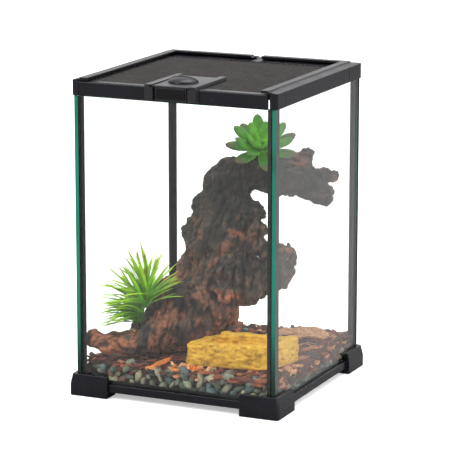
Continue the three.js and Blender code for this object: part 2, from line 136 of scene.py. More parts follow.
def piece_of_mesh(name, mesh, body, looks, nodes=(), smooth=True, sharp_angle=None):
    """Turns a mesh into a finished piece, as piece() does for a bmesh."""
    made = bpy.data.objects.new(name, mesh)
    bpy.context.scene.collection.objects.link(made)
    for look in looks:
        mesh.materials.append(look)
    if smooth:
        mesh.shade_smooth()
    if sharp_angle is not None:
        mesh.set_sharp_from_angle(angle=math.radians(sharp_angle))
    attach(made, body)
    if nodes:
        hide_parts(*nodes)
    return made


def merged_copy(node):
    """A bmesh copy of a CAD node with its loose triangles joined into one skin."""
    bm = bmesh.new()
    bm.from_mesh(frame["nodes"][node].data)
    bmesh.ops.remove_doubles(bm, verts=bm.verts, dist=0.01 * MM)
    # Triangles that lie within 1.5 degrees of one plane become one face.
    bmesh.ops.dissolve_limit(bm, angle_limit=math.radians(1.5), verts=bm.verts, edges=bm.edges)
    return bm


def body_of(node):
    """The moving body that a CAD node belongs to."""
    return frame["nodes"][node]["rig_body"]


def evaluated_mesh(made):
    """The mesh of an object with its modifiers applied. The object is removed."""
    graph = bpy.context.evaluated_depsgraph_get()
    mesh = bpy.data.meshes.new_from_object(made.evaluated_get(graph))
    bpy.data.objects.remove(made)
    return mesh


def remeshed(bm, voxel, smoothing=0):
    """One skin over everything in a bmesh, on a voxel grid, then smoothed."""
    holder = bpy.data.objects.new("skin", mesh_of(bm))
    bpy.context.scene.collection.objects.link(holder)
    skin = holder.modifiers.new("skin", "REMESH")
    skin.mode = "VOXEL"
    skin.voxel_size = voxel
    if smoothing:
        soften = holder.modifiers.new("soften", "SMOOTH")
        soften.factor = 0.5
        soften.iterations = smoothing
    return evaluated_mesh(holder)


def heap(items, batch=120):
    """One bmesh of many small shapes: each item is a shape, the matrix that places it, and its tone."""
    whole = bmesh.new()
    whole.verts.layers.float.new("tone")
    for start in range(0, len(items), batch):
        part = bmesh.new()
        tone = part.verts.layers.float.new("tone")
        for shape, matrix, value in items[start:start + batch]:
            first = len(part.verts)
            part.from_mesh(shape)
            part.verts.ensure_lookup_table()
            for vert in part.verts[first:]:
                vert.co = matrix @ vert.co
                vert[tone] = value
        whole.from_mesh(mesh_of(part))
    return whole


def embossed(mesh, relief):
    """Moves each point of a mesh along its normal and keeps how deep it lies for the colour.

    relief takes a point in millimetres and its normal, and gives a height in millimetres and a depth
    from -1 to 1.
    """
    hollow = mesh.attributes.new("hollow", "FLOAT", "POINT")
    marks = []
    for vert in mesh.vertices:
        height, depth = relief(vert.co / MM, vert.normal)
        marks.append((vert, vert.normal * height * MM, within(depth, -1.0)))
    for vert, move, depth in marks:
        vert.co += move
        hollow.data[vert.index].value = depth


def mesh_of(bm, name="shape"):
    """The mesh of a bmesh, which is freed."""
    mesh = bpy.data.meshes.new(name)
    bm.to_mesh(mesh)
    bm.free()
    return mesh


# ---------------------------------------------------------------- materials


def moulded_plastic(name, tint, roughness, grain, sheen=0.28):
    """Injection-moulded ABS with a fine spark-eroded skin: a soft satin sheen that breaks up slightly."""
    made, tree = new_material(name)
    place = add(tree, "ShaderNodeTexCoord").outputs["Object"]
    # Spark grain is about 0.1 mm, drawn at 0.6 mm so that it shows.
    skin = add(tree, "ShaderNodeTexNoise", {"Vector": place, "Scale": 1 / (0.6 * MM), "Detail": 2.0})
    cloud = add(tree, "ShaderNodeTexNoise", {"Vector": place, "Scale": 1 / (22 * MM), "Detail": 3.0})
    paler = tuple(min(1, c * 1.35) for c in shade(tint)[:3]) + (1,)
    tone = add(tree, "ShaderNodeValToRGB", {"Fac": cloud.outputs["Fac"]},
               stops=[(0.3, shade(tint)), (0.75, paler)])
    gloss = add(tree, "ShaderNodeMapRange", {"Value": cloud.outputs["Fac"], "From Min": 0.3, "From Max": 0.7,
                                             "To Min": roughness - 0.04, "To Max": roughness + 0.06})
    relief = add(tree, "ShaderNodeBump", {
        "Height": skin.outputs["Fac"], "Strength": grain, "Distance": 0.04 * MM,
    })
    shader = add(tree, "ShaderNodeBsdfPrincipled", {
        "Base Color": tone.outputs["Color"], "Roughness": gloss.outputs["Result"],
        "Normal": relief.outputs["Normal"], "IOR": 1.5, "Specular IOR Level": sheen,
    })
    finish_material(tree, shader.outputs["BSDF"])
    return made


def float_glass():
    """Clear soda-lime float glass: sharp reflections, the faintest green, and lamps shine through it."""
    made, tree = new_material("clear_float_glass")
    glass = add(tree, "ShaderNodeBsdfPrincipled", {
        "Base Color": shade("#fafdfb"), "Roughness": 0.0, "IOR": 1.5, "Transmission Weight": 1.0,
    })
    open_air = add(tree, "ShaderNodeBsdfTransparent", {"Color": shade("#f4faf7")})
    path = add(tree, "ShaderNodeLightPath")
    mix = add(tree, "ShaderNodeMixShader", {0: path.outputs["Is Shadow Ray"], 1: glass.outputs["BSDF"],
                                            2: open_air.outputs["BSDF"]})
    finish_material(tree, mix.outputs["Shader"])
    return made


def polished_edge():
    """Ground and polished glass edge: iron in the glass gathers along the pane, so it shows deep green. Its
    brightness is painted light, standing in for the light the glass carries along from behind.
    """
    made, tree = new_material("polished_glass_edge")
    place = add(tree, "ShaderNodeTexCoord").outputs["Object"]
    height = add(tree, "ShaderNodeSeparateXYZ", {"Vector": place}).outputs["Z"]
    drift = add(tree, "ShaderNodeTexNoise", {"Vector": place, "Scale": 1 / (60 * MM), "Detail": 1.0})
    # Painted light: the edge is painted darker near the base and brighter green up the pane, where more light
    # comes through from behind.
    lift = add(tree, "ShaderNodeMapRange", {"Value": height, "From Min": 15 * MM, "From Max": 125 * MM})
    level = add(tree, "ShaderNodeMath", {0: lift.outputs["Result"], 1: drift.outputs["Fac"]},
                operation="MULTIPLY")
    tone = add(tree, "ShaderNodeValToRGB", {"Fac": level.outputs["Value"]}, stops=[
        (0.08, shade("#06201b")), (0.22, shade("#0b4338")), (0.38, shade("#0e6250")), (0.6, shade("#106b57")),
    ])
    shader = add(tree, "ShaderNodeBsdfPrincipled", {
        "Base Color": tone.outputs["Color"], "Roughness": 0.12, "IOR": 1.5,
    })
    finish_material(tree, shader.outputs["BSDF"])
    return made


def cured_silicone():
    """Tooled black silicone sealant: smooth, rubbery, with slow waves from the finger that drew it."""
    made, tree = new_material("cured_silicone")
    place = add(tree, "ShaderNodeTexCoord").outputs["Object"]
    wave = add(tree, "ShaderNodeTexNoise", {"Vector": place, "Scale": 1 / (7 * MM), "Detail": 1.5})
    tone = add(tree, "ShaderNodeValToRGB", {"Fac": wave.outputs["Fac"]},
               stops=[(0.3, shade("#040505")), (0.8, shade("#090a0a"))])
    relief = add(tree, "ShaderNodeBump", {
        "Height": wave.outputs["Fac"], "Strength": 0.4, "Distance": 0.3 * MM,
    })
    shader = add(tree, "ShaderNodeBsdfPrincipled", {
        "Base Color": tone.outputs["Color"], "Roughness": 0.4, "IOR": 1.41, "Specular IOR Level": 0.2,
        "Normal": relief.outputs["Normal"],
    })
    finish_material(tree, shader.outputs["BSDF"])
    return made


def coated_wire():
    """Woven steel wire with a black powder coat: dull, and paler in drifts where dust lies."""
    made, tree = new_material("coated_wire")
    place = add(tree, "ShaderNodeTexCoord").outputs["Object"]
    dust = add(tree, "ShaderNodeTexNoise", {"Vector": place, "Scale": 1 / (14 * MM), "Detail": 4.0})
    tone = add(tree, "ShaderNodeValToRGB", {"Fac": dust.outputs["Fac"]},
               stops=[(0.3, shade("#2b2828")), (0.75, shade("#3a3635"))])
    shader = add(tree, "ShaderNodeBsdfPrincipled", {
        "Base Color": tone.outputs["Color"], "Roughness": 0.42, "IOR": 1.5, "Specular IOR Level": 0.22,
    })
    finish_material(tree, shader.outputs["BSDF"])
    return made


def river_stone():
    """Water-worn pebbles, each of its own stone: matt, finely speckled, some faintly banded."""
    made, tree = new_material("river_stone")
    place = add(tree, "ShaderNodeTexCoord").outputs["Object"]
    tone = add(tree, "ShaderNodeAttribute", attribute_name="tone").outputs["Fac"]
    kinds = [
        "#5f6557", "#7b7f6c", "#4d5a5a", "#8a8773", "#666b5e", "#3c4342", "#a39a7c", "#66767a",
        "#7a7260", "#4f594e", "#8f8874", "#56656a", "#6f4a3e", "#6d7564", "#aaa186", "#454b45",
    ]
    stone = add(tree, "ShaderNodeValToRGB", {"Fac": tone},
                stops=[(i / len(kinds), shade(code)) for i, code in enumerate(kinds)])
    stone.color_ramp.interpolation = "CONSTANT"
    # Mineral grains of about 0.9 mm, and bands a few millimetres wide.
    speck = add(tree, "ShaderNodeTexNoise", {"Vector": place, "Scale": 1 / (0.9 * MM), "Detail": 3.0})
    band = add(tree, "ShaderNodeTexNoise", {"Vector": place, "Scale": 1 / (5 * MM), "Detail": 2.0,
                                            "Distortion": 1.5})
    grains = add(tree, "ShaderNodeMapRange", {"Value": speck.outputs["Fac"], "From Min": 0.3, "From Max": 0.7,
                                              "To Min": 0.72, "To Max": 1.25})
    bands = add(tree, "ShaderNodeMapRange", {"Value": band.outputs["Fac"], "From Min": 0.35, "From Max": 0.65,
                                             "To Min": 0.8, "To Max": 1.15})
    both = add(tree, "ShaderNodeMath", {0: grains.outputs["Result"], 1: bands.outputs["Result"]},
               operation="MULTIPLY")
    mixed = add(tree, "ShaderNodeVectorMath", {0: stone.outputs["Color"], "Scale": both.outputs["Value"]},
                operation="SCALE")
    relief = add(tree, "ShaderNodeBump", {
        "Height": speck.outputs["Fac"], "Strength": 0.35, "Distance": 0.12 * MM,
    })
    shader = add(tree, "ShaderNodeBsdfPrincipled", {
        "Base Color": mixed.outputs["Vector"], "Roughness": 0.55, "Normal": relief.outputs["Normal"],
    })
    finish_material(tree, shader.outputs["BSDF"])
    return made


def pine_bark():
    """Broken bark chips: fibrous along their length, from near-black outer bark to orange inner wood."""
    made, tree = new_material("pine_bark")
    place = add(tree, "ShaderNodeTexCoord").outputs["Object"]
    tone = add(tree, "ShaderNodeAttribute", attribute_name="tone").outputs["Fac"]
    kinds = [
        (0.0, "#1f1311"), (0.12, "#3a1f19"), (0.26, "#5b2a1e"), (0.4, "#743524"), (0.52, "#45302c"),
        (0.64, "#8a4229"), (0.76, "#a25a3d"), (0.87, "#e0a278"), (0.93, "#e79a5a"), (0.97, "#e88032"),
    ]
    bark = add(tree, "ShaderNodeValToRGB", {"Fac": tone}, stops=[(at, shade(code)) for at, code in kinds])
    # Fibres about 1.3 mm apart, drawn out along one direction by an uneven scale.
    stretch = add(tree, "ShaderNodeMapping", {"Vector": place, "Scale": (1.0, 0.35, 1.0),
                                              "Rotation": (0.3, 0.2, 0.6)})
    fibre = add(tree, "ShaderNodeTexNoise", {"Vector": stretch.outputs["Vector"], "Scale": 1 / (1.3 * MM),
                                             "Detail": 4.0, "Roughness": 0.65})
    blotch = add(tree, "ShaderNodeTexNoise", {"Vector": place, "Scale": 1 / (6 * MM), "Detail": 3.0})
    fibres = add(tree, "ShaderNodeMapRange", {
        "Value": fibre.outputs["Fac"], "From Min": 0.32, "From Max": 0.68, "To Min": 0.5, "To Max": 1.4,
    })
    blotches = add(tree, "ShaderNodeMapRange", {
        "Value": blotch.outputs["Fac"], "From Min": 0.3, "From Max": 0.7, "To Min": 0.7, "To Max": 1.2,
    })
    both = add(tree, "ShaderNodeMath", {0: fibres.outputs["Result"], 1: blotches.outputs["Result"]},
               operation="MULTIPLY")
    mixed = add(tree, "ShaderNodeVectorMath", {0: bark.outputs["Color"], "Scale": both.outputs["Value"]},
                operation="SCALE")
    relief = add(tree, "ShaderNodeBump", {
        "Height": fibre.outputs["Fac"], "Strength": 0.7, "Distance": 0.5 * MM,
    })
    shader = add(tree, "ShaderNodeBsdfPrincipled", {
        "Base Color": mixed.outputs["Vector"], "Roughness": 0.78, "Normal": relief.outputs["Normal"],
    })
    finish_material(tree, shader.outputs["BSDF"])
    return made


def weathered_wood():
    """Sandblasted root wood: charcoal weathered skin over red-brown heartwood, with painted shade in every
    hollow and painted light on the ridges.
    """
    made, tree = new_material("weathered_driftwood")
    place = add(tree, "ShaderNodeTexCoord").outputs["Object"]
    height = add(tree, "ShaderNodeSeparateXYZ", {"Vector": place}).outputs["Z"]
    hollow = add(tree, "ShaderNodeAttribute", attribute_name="hollow").outputs["Fac"]
    patch = add(tree, "ShaderNodeTexNoise", {"Vector": place, "Scale": 1 / (26 * MM), "Detail": 5.0,
                                             "Roughness": 0.62, "Distortion": 0.6})
    streak = add(tree, "ShaderNodeTexNoise", {"Vector": place, "Scale": 1 / (6 * MM), "Detail": 5.0,
                                              "Roughness": 0.7, "Distortion": 1.2})
    fleck = add(tree, "ShaderNodeTexNoise", {"Vector": place, "Scale": 1 / (1.4 * MM), "Detail": 3.0})
    rise = add(tree, "ShaderNodeMapRange", {"Value": height, "From Min": 40 * MM, "From Max": 170 * MM,
                                            "To Min": 0.05, "To Max": -0.15})
    warm = add(tree, "ShaderNodeMath", {0: patch.outputs["Fac"], 1: rise.outputs["Result"]}, operation="ADD")
    skin = add(tree, "ShaderNodeValToRGB", {"Fac": warm.outputs["Value"]}, stops=[
        (0.3, shade("#1d1916")), (0.4, shade("#382c25")), (0.48, shade("#5c3f30")),
        (0.57, shade("#8a5036")), (0.7, shade("#a26040")),
    ])
    streaks = add(tree, "ShaderNodeMapRange", {
        "Value": streak.outputs["Fac"], "From Min": 0.3, "From Max": 0.7, "To Min": 0.6, "To Max": 1.35,
    })
    flecks = add(tree, "ShaderNodeMapRange", {"Value": fleck.outputs["Fac"], "From Min": 0.3, "From Max": 0.7,
                                              "To Min": 0.75, "To Max": 1.25})
    # Painted shade and light: hollows and cracks are darkened to about a fifth, and ridges are lightened by
    # half again.
    depth = add(tree, "ShaderNodeMapRange", {"Value": hollow, "From Min": -1.0, "From Max": 1.0,
                                             "To Min": 0.22, "To Max": 1.55})
    first = add(tree, "ShaderNodeMath", {0: streaks.outputs["Result"], 1: flecks.outputs["Result"]},
                operation="MULTIPLY")
    second = add(tree, "ShaderNodeMath", {0: first.outputs["Value"], 1: depth.outputs["Result"]},
                 operation="MULTIPLY")
    mixed = add(tree, "ShaderNodeVectorMath", {0: skin.outputs["Color"], "Scale": second.outputs["Value"]},
                operation="SCALE")
    relief = add(tree, "ShaderNodeBump", {
        "Height": streak.outputs["Fac"], "Strength": 0.6, "Distance": 1.2 * MM,
    })
    fine = add(tree, "ShaderNodeBump", {
        "Height": fleck.outputs["Fac"], "Strength": 0.5, "Distance": 0.35 * MM,
        "Normal": relief.outputs["Normal"],
    })
    shader = add(tree, "ShaderNodeBsdfPrincipled", {
        "Base Color": mixed.outputs["Vector"], "Roughness": 0.62, "Normal": fine.outputs["Normal"],
    })
    finish_material(tree, shader.outputs["BSDF"])
    return made


def moulded_leaf(name, stops, roughness, vein):
    """Soft moulded plastic leaves: a waxy sheen, light showing through, and colour sprayed on at the tips."""
    made, tree = new_material(name)
    place = add(tree, "ShaderNodeTexCoord").outputs["Object"]
    along = add(tree, "ShaderNodeAttribute", attribute_name="tone").outputs["Fac"]
    spray = add(tree, "ShaderNodeTexNoise", {"Vector": place, "Scale": 1 / (7 * MM), "Detail": 3.0})
    drift = add(tree, "ShaderNodeMapRange", {"Value": spray.outputs["Fac"], "From Min": 0.3, "From Max": 0.7,
                                             "To Min": -0.1, "To Max": 0.1})
    level = add(tree, "ShaderNodeMath", {0: along, 1: drift.outputs["Result"]}, operation="ADD")
    tone = add(tree, "ShaderNodeValToRGB", {"Fac": level.outputs["Value"]},
               stops=[(at, shade(code)) for at, code in stops])
    skin = add(tree, "ShaderNodeTexNoise", {"Vector": place, "Scale": 1 / (vein * MM), "Detail": 2.0})
    relief = add(tree, "ShaderNodeBump", {
        "Height": skin.outputs["Fac"], "Strength": 0.25, "Distance": 0.2 * MM,
    })
    shader = add(tree, "ShaderNodeBsdfPrincipled", {
        "Base Color": tone.outputs["Color"], "Roughness": roughness, "Normal": relief.outputs["Normal"],
        "Subsurface Weight": 0.12, "Subsurface Radius": (2 * MM, 3 * MM, 1 * MM), "Subsurface Scale": 1.0,
    })
    finish_material(tree, shader.outputs["BSDF"])
    return made


def cast_rock():
    """Cast resin painted as sandstone: yellow ochre, chalky, with darker wash left in the pits."""
    made, tree = new_material("cast_resin_rock")
    place = add(tree, "ShaderNodeTexCoord").outputs["Object"]
    hollow = add(tree, "ShaderNodeAttribute", attribute_name="hollow").outputs["Fac"]
    cloud = add(tree, "ShaderNodeTexNoise", {"Vector": place, "Scale": 1 / (12 * MM), "Detail": 4.0})
    grit = add(tree, "ShaderNodeTexNoise", {"Vector": place, "Scale": 1 / (1.0 * MM), "Detail": 3.0})
    wash = add(tree, "ShaderNodeMapRange", {"Value": cloud.outputs["Fac"], "From Min": 0.3, "From Max": 0.7,
                                            "To Min": -0.25, "To Max": 0.25})
    level = add(tree, "ShaderNodeMath", {0: hollow, 1: wash.outputs["Result"]}, operation="ADD")
    scaled = add(tree, "ShaderNodeMapRange", {"Value": level.outputs["Value"], "From Min": -1.0,
                                              "From Max": 1.0})
    paint = add(tree, "ShaderNodeValToRGB", {"Fac": scaled.outputs["Result"]}, stops=[
        (0.14, shade("#a87a26")), (0.36, shade("#cf982a")), (0.52, shade("#e2a92f")), (0.8, shade("#efbd40")),
    ])
    grits = add(tree, "ShaderNodeMapRange", {"Value": grit.outputs["Fac"], "From Min": 0.3, "From Max": 0.7,
                                             "To Min": 0.86, "To Max": 1.1})
    mixed = add(tree, "ShaderNodeVectorMath", {0: paint.outputs["Color"], "Scale": grits.outputs["Result"]},
                operation="SCALE")
    relief = add(tree, "ShaderNodeBump", {
        "Height": grit.outputs["Fac"], "Strength": 0.5, "Distance": 0.25 * MM,
    })
    shader = add(tree, "ShaderNodeBsdfPrincipled", {
        "Base Color": mixed.outputs["Vector"], "Roughness": 0.75, "Normal": relief.outputs["Normal"],
    })
    finish_material(tree, shader.outputs["BSDF"])
    return made


def straw_fibre():
    """A wad of dried moss and straw: pale, matt and stringy."""
    made, tree = new_material("straw_fibre")
    place = add(tree, "ShaderNodeTexCoord").outputs["Object"]
    strand = add(tree, "ShaderNodeTexNoise", {"Vector": place, "Scale": 1 / (1.1 * MM), "Detail": 4.0,
                                              "Distortion": 2.0})
    tone = add(tree, "ShaderNodeValToRGB", {"Fac": strand.outputs["Fac"]},
               stops=[(0.3, shade("#6b5632")), (0.5, shade("#b9a06a")), (0.7, shade("#e6d7a6"))])
    relief = add(tree, "ShaderNodeBump", {
        "Height": strand.outputs["Fac"], "Strength": 0.9, "Distance": 0.6 * MM,
    })
    shader = add(tree, "ShaderNodeBsdfPrincipled", {
        "Base Color": tone.outputs["Color"], "Roughness": 0.85, "Normal": relief.outputs["Normal"],
    })
    finish_material(tree, shader.outputs["BSDF"])
    return made


def studio_paper():
    """Seamless white studio paper: an even white, lifted a little, and greyer where glass mirrors it."""
    made, tree = new_material("studio_paper")
    place = add(tree, "ShaderNodeTexCoord").outputs["Object"]
    cloud = add(tree, "ShaderNodeTexNoise", {"Vector": place, "Scale": 4.0, "Detail": 2.0})
    tone = add(tree, "ShaderNodeValToRGB", {"Fac": cloud.outputs["Fac"]},
               stops=[(0.3, shade("#f4f4f3")), (0.7, shade("#f7f7f6"))])
    path = add(tree, "ShaderNodeLightPath")
    mirrored = add(tree, "ShaderNodeMath", {0: path.outputs["Glossy Depth"], 1: 1.0}, operation="MINIMUM")
    dim = add(tree, "ShaderNodeMix", {0: mirrored.outputs["Value"], "A": tone.outputs["Color"],
                                      "B": shade("#8a8888")}, data_type="RGBA")
    bounces = add(tree, "ShaderNodeMath", {0: path.outputs["Glossy Depth"], 1: path.outputs["Diffuse Depth"]},
                  operation="ADD")
    # Only what is seen straight or through glass is lifted, so the paper lights nothing.
    lift = add(tree, "ShaderNodeMath", {0: bounces.outputs["Value"], 1: 0.5}, operation="LESS_THAN")
    lit = add(tree, "ShaderNodeMath", {0: lift.outputs["Value"], 1: 0.42}, operation="MULTIPLY")
    shader = add(tree, "ShaderNodeBsdfPrincipled", {"Base Color": dim.outputs[2], "Roughness": 0.95,
                                                    "Emission Color": shade("#ffffff"),
                                                    "Emission Strength": lit.outputs["Value"]})
    finish_material(tree, shader.outputs["BSDF"])
    return made


FRAME_ABS = moulded_plastic("moulded_abs_frame", "#101015", 0.25, 0.15)
LID_ABS = moulded_plastic("moulded_abs_lid", "#111015", 0.25, 0.15)
HATCH_ABS = moulded_plastic("moulded_abs_hatch", "#17161a", 0.3, 0.15, 0.55)
BADGE_ABS = moulded_plastic("polished_abs_badge", "#070709", 0.12, 0.06)
GLASS = float_glass()
GLASS_EDGE = polished_edge()
SILICONE = cured_silicone()
WIRE = coated_wire()
STONE = river_stone()
BARK = pine_bark()
WOOD = weathered_wood()
# The tones run from the foot of a leaf towards its brown-sprayed tip. The grass's dark foot is painted shade.
GRASS = moulded_leaf("moulded_grass_plastic", [
    (0.0, "#1f5a12"), (0.25, "#3f8f14"), (0.5, "#74bb14"),
    (0.8, "#a9db1c"), (0.92, "#b0c82c"), (1.0, "#6f7a2c"),
], 0.5, 0.9)
SUCCULENT = moulded_leaf("moulded_succulent_plastic", [
    (0.0, "#9bdf2e"), (0.3, "#66b81a"), (0.66, "#449016"), (0.84, "#4a7524"), (1.0, "#665438"),
], 0.5, 1.2)
ROCK = cast_rock()
STRAW = straw_fibre()


# ---------------------------------------------------------------- moulded frame and lid

FRAME_NODES = [f"foot_{e}_{s}" for e, _ in ENDS for s, _ in SIDES]
FRAME_NODES += [f"base_bar_{x}" for x in ("front", "back", "left", "right")]
FRAME_NODES += [f"top_corner_{e}_{s}" for e, _ in ENDS for s, _ in SIDES]
FRAME_NODES += [f"top_rail_{x}" for x in ("left", "right", "back")]
LID_NODES = ["lid_front_bar", "lid_side_bar_left", "lid_side_bar_right", "lid_back_bar", "window_collar"]
HATCH_NODES = ["hatch_guide_left", "hatch_guide_right", "feeding_hatch"]
FRAME_ROUND = 0.45 * MM
LID_ROUND = 0.3 * MM
BADGE_ROUND = 0.2 * MM
SHARP_EDGE = math.radians(28)


def moulded(node, look, radius):
    """A CAD moulding with its edges rounded as a mould leaves them."""
    bm = merged_copy(node)
    edges = [e for e in bm.edges if len(e.link_faces) == 2 and e.calc_face_angle(0) > SHARP_EDGE]
    bmesh.ops.bevel(bm, geom=edges, offset=radius, offset_type="OFFSET", affect="EDGES", segments=2,
                    profile=0.5, material=-1, clamp_overlap=True)
    bmesh.ops.remove_doubles(bm, verts=bm.verts, dist=0.005 * MM)
    made = piece(f"{node}_moulding", bm, body_of(node), [look], [node], sharp_angle=50)
    weighted = made.modifiers.new("flat_faces", "WEIGHTED_NORMAL")
    weighted.keep_sharp = True


def build_mouldings():
    """Every moulded part of the frame, the lid and the hatch."""
    for node in FRAME_NODES:
        moulded(node, FRAME_ABS, FRAME_ROUND)
    for node in LID_NODES:
        moulded(node, LID_ABS, LID_ROUND)
    for node in HATCH_NODES:
        moulded(node, HATCH_ABS, LID_ROUND)
    moulded("badge_plate", BADGE_ABS, BADGE_ROUND)
    moulded("hatch_finger_tab", LID_ABS, LID_ROUND)


# ---------------------------------------------------------------- glass and sealant


ARRIS = 0.35 * MM
CLEAR, GREEN_EDGE, BONDED_EDGE = range(3)


def pane(node, thin):
    """A float glass pane with its edges ground to a small arris. thin is the axis through the pane.

    Edges set in a joint wear the black sealant. The others are polished and show green.
    """
    low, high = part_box(node)
    bm = bmesh.new()
    size = Matrix.Diagonal((*(high - low), 1))
    bmesh.ops.create_cube(bm, size=1, matrix=Matrix.Translation((low + high) / 2) @ size)
    bmesh.ops.bevel(bm, geom=bm.edges[:], offset=ARRIS, offset_type="OFFSET", affect="EDGES", segments=1,
                    profile=0.5, material=-1, clamp_overlap=True)
    bm.normal_update()
    # The axes whose ends meet a neighbour: the side panes cover the front and back ones, and all four
    # cover the base.
    bonded = {0: (), 1: (0,), 2: (0, 1)}[thin]
    for face in bm.faces:
        if abs(face.normal[thin]) > 0.9:
            face.material_index = CLEAR
        elif any(abs(face.normal[axis]) > 0.5 for axis in bonded):
            face.material_index = BONDED_EDGE
        else:
            face.material_index = GREEN_EDGE
    piece(f"{node}_pane", bm, "tank", [GLASS, GLASS_EDGE, SILICONE], [node], smooth=False)


def build_glass():
    """The five panes, each named with the axis through it."""
    for name, thin in (("left", 0), ("right", 0), ("front", 1), ("back", 1), ("base", 2)):
        pane(f"glass_{name}", thin)


def prism(bm, points, start, run):
    """A closed section given by points in space, run along a vector."""
    face = bm.faces.new([bm.verts.new(Vector(p) + start) for p in points])
    made = bmesh.ops.extrude_face_region(bm, geom=[face], use_keep_orig=True)
    moved = [g for g in made["geom"] if isinstance(g, bmesh.types.BMVert)]
    bmesh.ops.translate(bm, verts=moved, vec=run)
    bmesh.ops.recalc_face_normals(bm, faces=bm.faces)


def hollow_curve(a, corner, b, pull, steps=7):
    """Points on a curve from a to b that sags towards a corner."""
    waist = [c * pull + (p + q) / 2 * (1 - pull) for c, p, q in zip(corner, a, b)]
    points = []
    for i in range(steps + 1):
        t = i / steps
        start, bend, end = (1 - t) ** 2, 2 * t * (1 - t), t * t
        points.append(tuple(start * p + bend * w + end * q for p, w, q in zip(a, waist, b)))
    return points


# The sealant stands clear of the panes by a hair, so that no two faces share a plane.
HAIR = 0.03 * MM
JOINT = 0.24 * MM
TRIM = 0.4 * MM
FRONT_SPREAD = 1.6 * MM


def bead_piece(node, section, start, run):
    """One bead, drawn along its run from its section."""
    bm = bmesh.new()
    prism(bm, section, start, run)
    piece(f"{node}_bead", bm, "tank", [SILICONE], [node], sharp_angle=40)


def build_seals():
    """Tooled beads. A thin tongue of each fills the joint between its panes."""
    inner, outer = (corner.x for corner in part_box("glass_right"))
    wall = inner - HAIR
    tongue = wall - JOINT
    outer -= 0.15 * MM
    for end, sy in ENDS:
        for side, sx in SIDES:
            node = f"seal_{end}_{side}"
            low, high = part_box(node)
            leg = wall - (high.x - low.x) - TRIM
            bead = [(tongue, wall), (tongue, outer), (wall, outer)] + hollow_curve(
                (wall, leg - FRONT_SPREAD), (wall, wall), (leg, wall), 0.6)
            plan = [(u, v) if sy < 0 else (v, u) for u, v in bead]
            bead_piece(node, [(sx * x, sy * y, 0) for x, y in plan],
                       Vector((0, 0, low.z)), Vector((0, 0, high.z - low.z)))
    under, top = (corner.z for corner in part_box("glass_base"))
    floor = top + HAIR
    under += 0.2 * MM
    reach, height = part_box("seal_base_front")[1].xz
    leg = wall - (height - floor)
    section = [(tongue, floor), (tongue, under), (wall, under)] + hollow_curve(
        (wall, height), (wall, floor), (leg, floor), 0.55)
    for end, sy in ENDS:
        bead_piece(f"seal_base_{end}", [(0, sy * u, z) for u, z in section],
                   Vector((-reach, 0, 0)), Vector((2 * reach, 0, 0)))
    for side, sx in SIDES:
        bead_piece(f"seal_base_{side}", [(sx * u, 0, z) for u, z in section],
                   Vector((0, -reach, 0)), Vector((0, 2 * reach, 0)))


# ---------------------------------------------------------------- woven screen

# Real cloth of this kind is finer. It is drawn coarser here so that the weave shows.
WIRE_PITCH = 3.1 * MM
WIRE_RADIUS = 0.44 * MM
WIRE_RISE = 0.85 * WIRE_RADIUS
CLAMPED = 6 * MM


def woven_wire(bm, start, steps, along, phase):
    """One four-sided wire along X or Y that passes over and under the wires across it."""
    across = Vector((-along.y, along.x, 0))
    height = WIRE_RISE if phase else -WIRE_RISE
    corners = [(1, 0), (0, 1), (-1, 0), (0, -1)]
    face = bm.faces.new([
        bm.verts.new(start + (across * a + Vector((0, 0, b))) * WIRE_RADIUS + Vector((0, 0, height)))
        for a, b in corners
    ])
    for step in range(1, steps + 1):
        made = bmesh.ops.extrude_face_region(bm, geom=[face], use_keep_orig=step == 1)
        moved = [g for g in made["geom"] if isinstance(g, bmesh.types.BMVert)]
        face = [g for g in made["geom"] if isinstance(g, bmesh.types.BMFace)][0]
        height = -height
        bmesh.ops.translate(bm, verts=moved, vec=along * WIRE_PITCH + Vector((0, 0, 2 * height)))


def repeated(bm, count, offset):
    """The mesh of a bmesh repeated in a row."""
    holder = bpy.data.objects.new("row", mesh_of(bm))
    bpy.context.scene.collection.objects.link(holder)
    row = holder.modifiers.new("row", "ARRAY")
    row.count = count
    row.use_relative_offset = False
    row.use_constant_offset = True
    row.constant_offset_displace = offset
    return evaluated_mesh(holder)


def screen_patch(whole, origin, columns, rows):
    """A rectangle of woven wire on the lattice: wires along X and along Y, over and under in turn."""
    for along, across, steps, wires, flip in (
        (Vector((1, 0, 0)), Vector((0, 1, 0)), columns, rows, 0),
        (Vector((0, 1, 0)), Vector((1, 0, 0)), rows, columns, 1),
    ):
        pair = bmesh.new()
        for parity in (0, 1):
            woven_wire(pair, origin + across * WIRE_PITCH * parity, steps, along, (parity + flip) % 2)
        bmesh.ops.recalc_face_normals(pair, faces=pair.faces)
        whole.from_mesh(repeated(pair, (wires + 1) // 2, across * WIRE_PITCH * 2))


def build_screen():
    """The lid's wire cloth, cut out round the window collar."""
    low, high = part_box("mesh_screen")
    collar_low, collar_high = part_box("window_collar")
    middle = (low.z + high.z) / 2
    columns = 2 * int((high.x - low.x) / WIRE_PITCH / 2)
    x0 = (low.x + high.x) / 2 - columns * WIRE_PITCH / 2
    rows = 2 * int((high.y - low.y) / WIRE_PITCH / 2)
    y0 = high.y - rows * WIRE_PITCH
    # The cloth runs on a little under the collar that clamps it.
    left = 2 * int((collar_low.x + CLAMPED - x0) / WIRE_PITCH / 2)
    right_start = 2 * math.ceil((collar_high.x - CLAMPED - x0) / WIRE_PITCH / 2)
    front = 2 * math.ceil((collar_high.y - CLAMPED - y0) / WIRE_PITCH / 2)
    bm = bmesh.new()
    screen_patch(bm, Vector((x0, y0, middle)), left, rows)
    screen_patch(bm, Vector((x0 + right_start * WIRE_PITCH, y0, middle)), columns - right_start, rows)
    gap = right_start - left
    screen_patch(bm, Vector((x0 + left * WIRE_PITCH, y0 + front * WIRE_PITCH, middle)), gap, rows - front)
    piece("mesh_screen_weave", bm, "lid", [WIRE], ["mesh_screen"], smooth=False)


# ---------------------------------------------------------------- substrate


